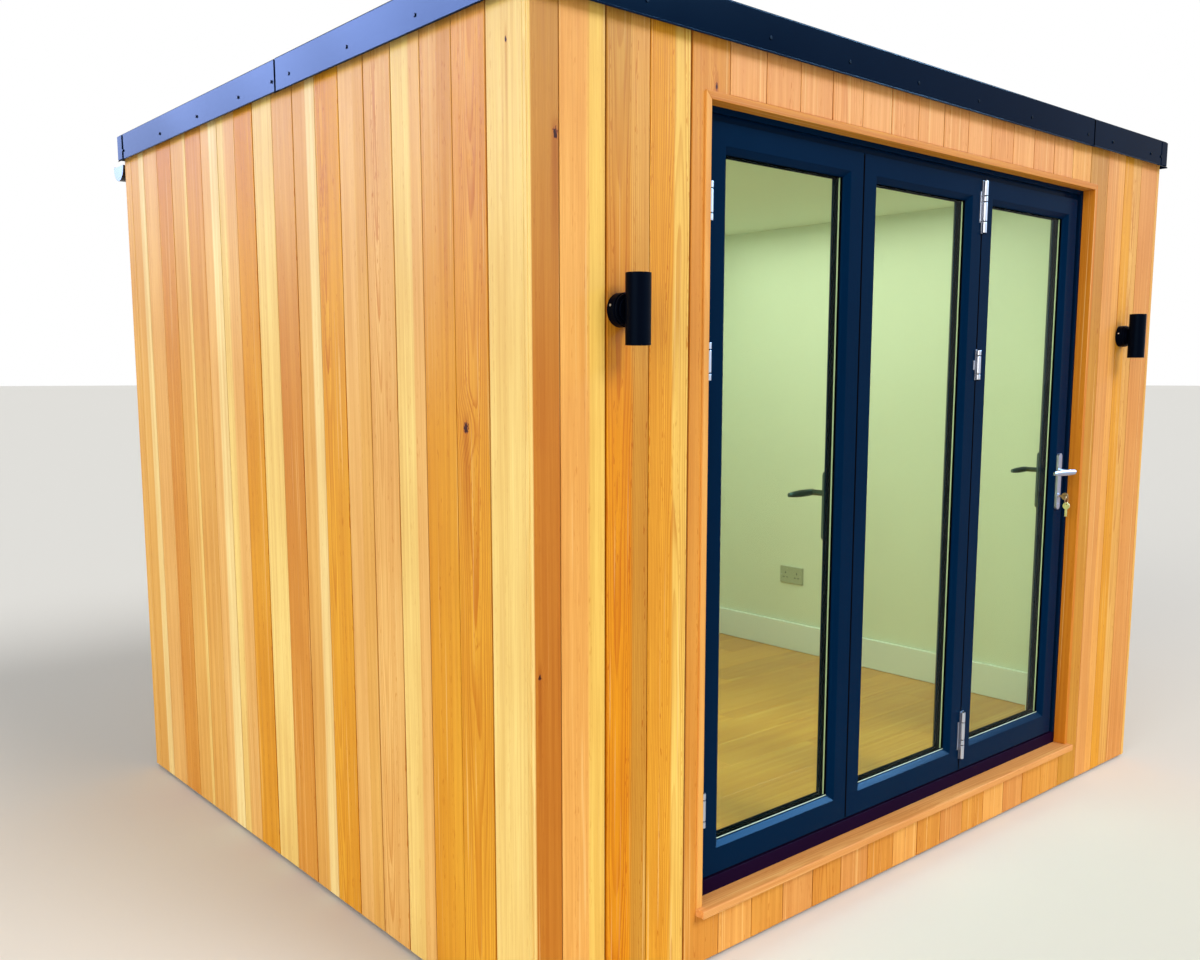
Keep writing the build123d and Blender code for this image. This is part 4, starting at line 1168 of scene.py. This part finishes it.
# %% [markdown]
# ## Gutter and roof
# The gutter is half-round black plastic held by straps, with a rolled lip along its outer edge. The
# straps are short lengths of its own CAD shape, and the trough is drawn in a little so that it lies
# inside them. The roof's rubber sheet has a tape over the seam in its middle, cut from the sheet's
# shape and raised by the tape's thickness.

# %% Gutter, straps and lip
GUTTER_Y, GUTTER_Z, LIP_Y = 2608, 2392, 2659
STRAPS, STRAP_HALF = (180, 870, 1560, 2250, 2940), 14


def length_of(node, name, middle, half):
    """Short length of a CAD shape, cut square on both sides of its middle."""
    piece = cad_copy(node, name)
    slice_off(piece, spot(middle + half, 0, 0), RIGHT)
    slice_off(piece, spot(middle - half, 0, 0), -RIGHT)
    return piece


straps = [ease(length_of("rear_gutter", "strap", x, STRAP_HALF), 0.0006) for x in STRAPS]
fit_out(joined("gutter_straps", straps), gutter_plastic, "gutter_plastic")
gutter = cad_copy("rear_gutter", "gutter")
resize(gutter, spot(0, GUTTER_Y, GUTTER_Z), (1, 0.965, 0.965))
lip = add_rod("lip", spot(-5, LIP_Y, GUTTER_Z), spot(WIDTH + 5, LIP_Y, GUTTER_Z), 0.0042, 16)
fit_out(joined("gutter", [ease(gutter, 0.0008), ease(lip, 0.001)]), gutter_plastic,
        "gutter_plastic", "rear_gutter")

# %% Roof sheet and the tape on its seam
TAPE, TAPE_DEPTH = 75, 0.0012
tape = length_of("roof_membrane", "seam_tape", WIDTH / 2, TAPE / 2)
tape.data.transform(Matrix.Translation((0, TAPE_DEPTH, TAPE_DEPTH)))
fit_out(ease(tape, 0.0004, 1), roof_rubber, "roof_rubber")
repaint(roof_rubber, "roof_membrane")

# %% [markdown]
# ## Timber that isn't cedar
# The base, the roof's edge and the core of the walls are plain softwood and board. They show only
# from below and at gaps, and a simple grain along one direction is enough for them.

# %% Material: plain timber
def timber_material(name, colour, repeats, relief):
    """Sawn timber whose fibres run along the direction with the smallest number of repeats."""
    material, shader = start_material(name)
    fibre = clouds(object_place(), repeats, 4, 0.6)
    broad = clouds(object_place(), tuple(value / 12 for value in repeats))
    mixed = calc("ADD", calc("MULTIPLY", fibre, 0.6), calc("MULTIPLY", broad, 0.4))
    dark = tuple(value * 0.6 for value in colour)
    fill(shader, Base_Color=tint(rescale(mixed, 0.35, 0.65), (*dark, 1), (*colour, 1)),
         Roughness=rescale(fibre, 0.2, 0.8, 0.6, 0.85))
    set_relief(shader, fibre, relief)
    return material


treated = timber_material("treated timber", (0.34, 0.30, 0.15), (14, 260, 260), 0.0006)
raw_board = timber_material("raw board", (0.58, 0.42, 0.24), (60, 60, 60), 0.0008)
repaint(treated, "base_frame", "roof_edge")
repaint(raw_board, "front_wall_left", "front_wall_right", "front_wall_head", "left_wall",
        "right_wall", "back_wall", "roof_panel")

# %% [markdown]
# ## The room
# Through the glass you see painted walls and ceiling, a white skirting, a double socket with its
# pin holes and two screws, and a wood-grained floor laid in planks.

# %% Walls, ceiling, skirting and socket
SOCKET_FACE, SOCKET_Z = 2949, 566
SOCKET_MIDDLES, SOCKET_SCREWS = (1624.5, 1697.5), (1600, 1722)
PIN_SLOTS = ((0, 576, 4, 9), (-11, 553, 8, 4), (11, 553, 8, 4))     # across, up, width and height
repaint(wall_paint, "front_plaster", "left_plaster", "right_plaster", "back_plaster", "ceiling")
dress_node("skirting_boards", "skirting", gloss_white, "skirting_paint", 0.004, 3)
socket, pin_holes = cad_copy("double_socket", "wall_socket"), []
for y in SOCKET_MIDDLES:
    for across, z, width, height in PIN_SLOTS:
        low = spot(SOCKET_FACE - 1, y + across - width / 2, z - height / 2)
        high = spot(SOCKET_FACE + 4, y + across + width / 2, z + height / 2)
        cut_away(socket, add_block("slot", low, high))
        # Black blocks at the foot of each pin hole: painted shade in the holes.
        pin_holes.append(add_block("pin_hole", low + RIGHT * 0.003, high - RIGHT * 0.001))
fit_out(ease(socket, 0.0008), socket_plastic, "socket_plastic", "double_socket")
fit_out(joined("socket_pin_hole_shade", pin_holes), rubber, "socket_plastic")
fit_screws("socket_screws", [(SOCKET_FACE, y, SOCKET_Z) for y in SOCKET_SCREWS], LEFT, 0.003, steel,
           "socket_plastic")

# %% Floor planks
PLANK, PLANK_LENGTH, PLANK_DEPTH, STAGGER, SHORTEST = 190, 1280, 12, 430, 20
ROOM_LEFT, ROOM_RIGHT, ROOM_FRONT, ROOM_BACK, WALL = 160, 2960, 110, 2390, 160
planks = []
row, y = 0, ROOM_FRONT
while y < ROOM_BACK:
    width = min(PLANK, ROOM_BACK - y)
    x = ROOM_LEFT - (row * STAGGER) % PLANK_LENGTH
    in_doorway = y < WALL
    left_end = OPENING_LEFT if in_doorway else ROOM_LEFT
    right_end = OPENING_RIGHT if in_doorway else ROOM_RIGHT
    while x < right_end:
        start, end = max(x, left_end), min(x + PLANK_LENGTH, right_end)
        if end - start > SHORTEST:
            plank = add_block("plank", spot(start, y, FLOOR_TOP - PLANK_DEPTH),
                              spot(end, y + width, FLOOR_TOP))
            ease(plank, 0.0008, 1)
            shade = chance.uniform(0.88, 1.1)
            mark_wood(plank, spot(start, y, FLOOR_TOP), (BACK, UP, RIGHT),
                      draw_trunk(row % 3 == 1), (0.69 * shade, 0.36 * shade, 0.07 * shade))
            planks.append(plank)
        x += PLANK_LENGTH
    y += width
    row += 1
print("planks", len(planks), "in", row, "rows")

# %% Material: floor laminate
laminate, shader = start_material("floor laminate")
grain = use_group(wood_grain, Place_in_trunk=attribute("trunk_place", "Vector"),
                  Board_colour=attribute("board_colour", "Color"), Ring_width=0.006,
                  Ring_strength=0.8)
fill(shader, Base_Color=grain["Colour"], Roughness=0.3)
set_relief(shader, grain["Height"], 0.0001)
fit_out(joined("floor_planks", planks), laminate, "floor_laminate", "floor_boards")

# %% [markdown]
# ## Floor and light
# A pale studio floor keeps the building's shadow. The light is soft: an even surround, a broad key
# from the front and a second one from the left. Dark gloss paint shows what it mirrors rather than
# its own colour, so a few panels are seen in gloss only: a row of strips where the left trim
# mirrors the sky, and one high panel that draws the bright line on beads and rolled edges. Inside
# the room, a soft panel under the ceiling stands for daylight.

# %% Studio floor
bpy.ops.object.select_all(action="DESELECT")
bpy.ops.mesh.primitive_plane_add(size=400, location=(0, 0, 0))
floor = bpy.context.object
floor.name = "studio_floor"
floor_material, shader = start_material("studio floor")
fill(shader, Base_Color=(0.78, 0.78, 0.77, 1), Roughness=0.9, Specular_IOR_Level=0.0)
floor.data.materials.append(floor_material)
print("studio floor, m", tuple(floor.dimensions.xy))

# %% World
AMBIENT = 0.45
world = bpy.data.worlds.new("studio")
bpy.context.scene.world = world
world.use_nodes = True
open_network(world.node_tree)
path = add_node("LightPath").outputs
seen = calc("MAXIMUM", path["Is Camera Ray"], path["Is Glossy Ray"])
seen = calc("MAXIMUM", seen, path["Is Transmission Ray"])
fill(world.node_tree.nodes["Background"], Color=(1, 1, 1, 1),
     Strength=rescale(seen, 0.0, 1.0, AMBIENT, 1.0))
print("surround lights at", AMBIENT)

# %% Soft suns and panels
def add_lamp(name, kind, strength, colour, **settings):
    """Lamp with its settings, put into the scene."""
    lamp = bpy.data.lights.new(name, kind)
    lamp.energy, lamp.color = strength, colour
    for setting, value in settings.items():
        setattr(lamp, setting, value)
    holder = bpy.data.objects.new(name, lamp)
    bpy.context.scene.collection.objects.link(holder)
    return holder


def add_sun(name, towards, strength, angle, colour):
    """Very soft sun that shines along a direction."""
    sun = add_lamp(name, "SUN", strength, colour, angle=radians(angle))
    sun.rotation_euler = Vector(towards).to_track_quat("-Z", "Y").to_euler()


def add_panel(name, place, towards, long_way, size, radiance, colour, gloss_only=True):
    """Flat soft panel that faces a direction, its strength given as the brightness of its face."""
    width, height = size
    panel = add_lamp(name, "AREA", radiance * pi * width * height, colour, shape="RECTANGLE",
                     size=width, size_y=height)
    back = -Vector(towards).normalized()
    side = (Vector(long_way) - back * back.dot(Vector(long_way))).normalized()
    turn = Matrix((side, back.cross(side), back)).transposed().to_4x4()
    panel.matrix_world = Matrix.Translation(place) @ turn
    panel.visible_camera = False
    panel.visible_glossy, panel.visible_diffuse = gloss_only, not gloss_only


add_sun("key", (-0.25, 0.72, -0.65), 1.75, 25, (1.0, 0.97, 0.92))
add_sun("left fill", (0.9, 0.25, -0.25), 1.76, 45, (1.0, 0.98, 0.88))
print("suns", len(bpy.data.lights))

# %% Strips of sky for the left trim, high sky and room
MIRRORED_EYE = Vector((-0.1186, -3.2232, 1.587))
STRIP_PLACE, STRIP_TOWARDS = Vector((-4.763, 3.718, 4.319)), Vector((0.404, -0.883, -0.237))
STRIPS = ((-1.7, -1.0, 86), (-1.0, -0.5, 61), (-0.5, 0.1, 39), (0.1, 0.75, 22), (0.75, 1.7, 12))


def strip_point(y):
    """Where the sight line to a point of the left trim goes on to after the trim mirrors it."""
    sight = Vector((-1.582, y, 2.45)) - MIRRORED_EYE
    reach = STRIP_TOWARDS.dot(STRIP_PLACE - MIRRORED_EYE) / STRIP_TOWARDS.dot(sight)
    return MIRRORED_EYE + sight * reach


for start, end, radiance in STRIPS:
    first, last = strip_point(start), strip_point(end)
    add_panel("sky strip", (first + last) / 2, STRIP_TOWARDS, last - first,
              ((last - first).length, 1.5), radiance, (0.33, 0.47, 1.0))
add_panel("high sky", (18.5, -17.7, 16.5), (-0.617, 0.591, -0.55), (0.69, 0.72, 0), (20, 6), 95,
          (0.3, 0.62, 1.0))
add_panel("room panel", (0, 0, 2.31), -UP, RIGHT, (2.4, 1.8), 2.1, (0.97, 1.0, 0.92),
          gloss_only=False)
print("lamps", len(bpy.data.lights))
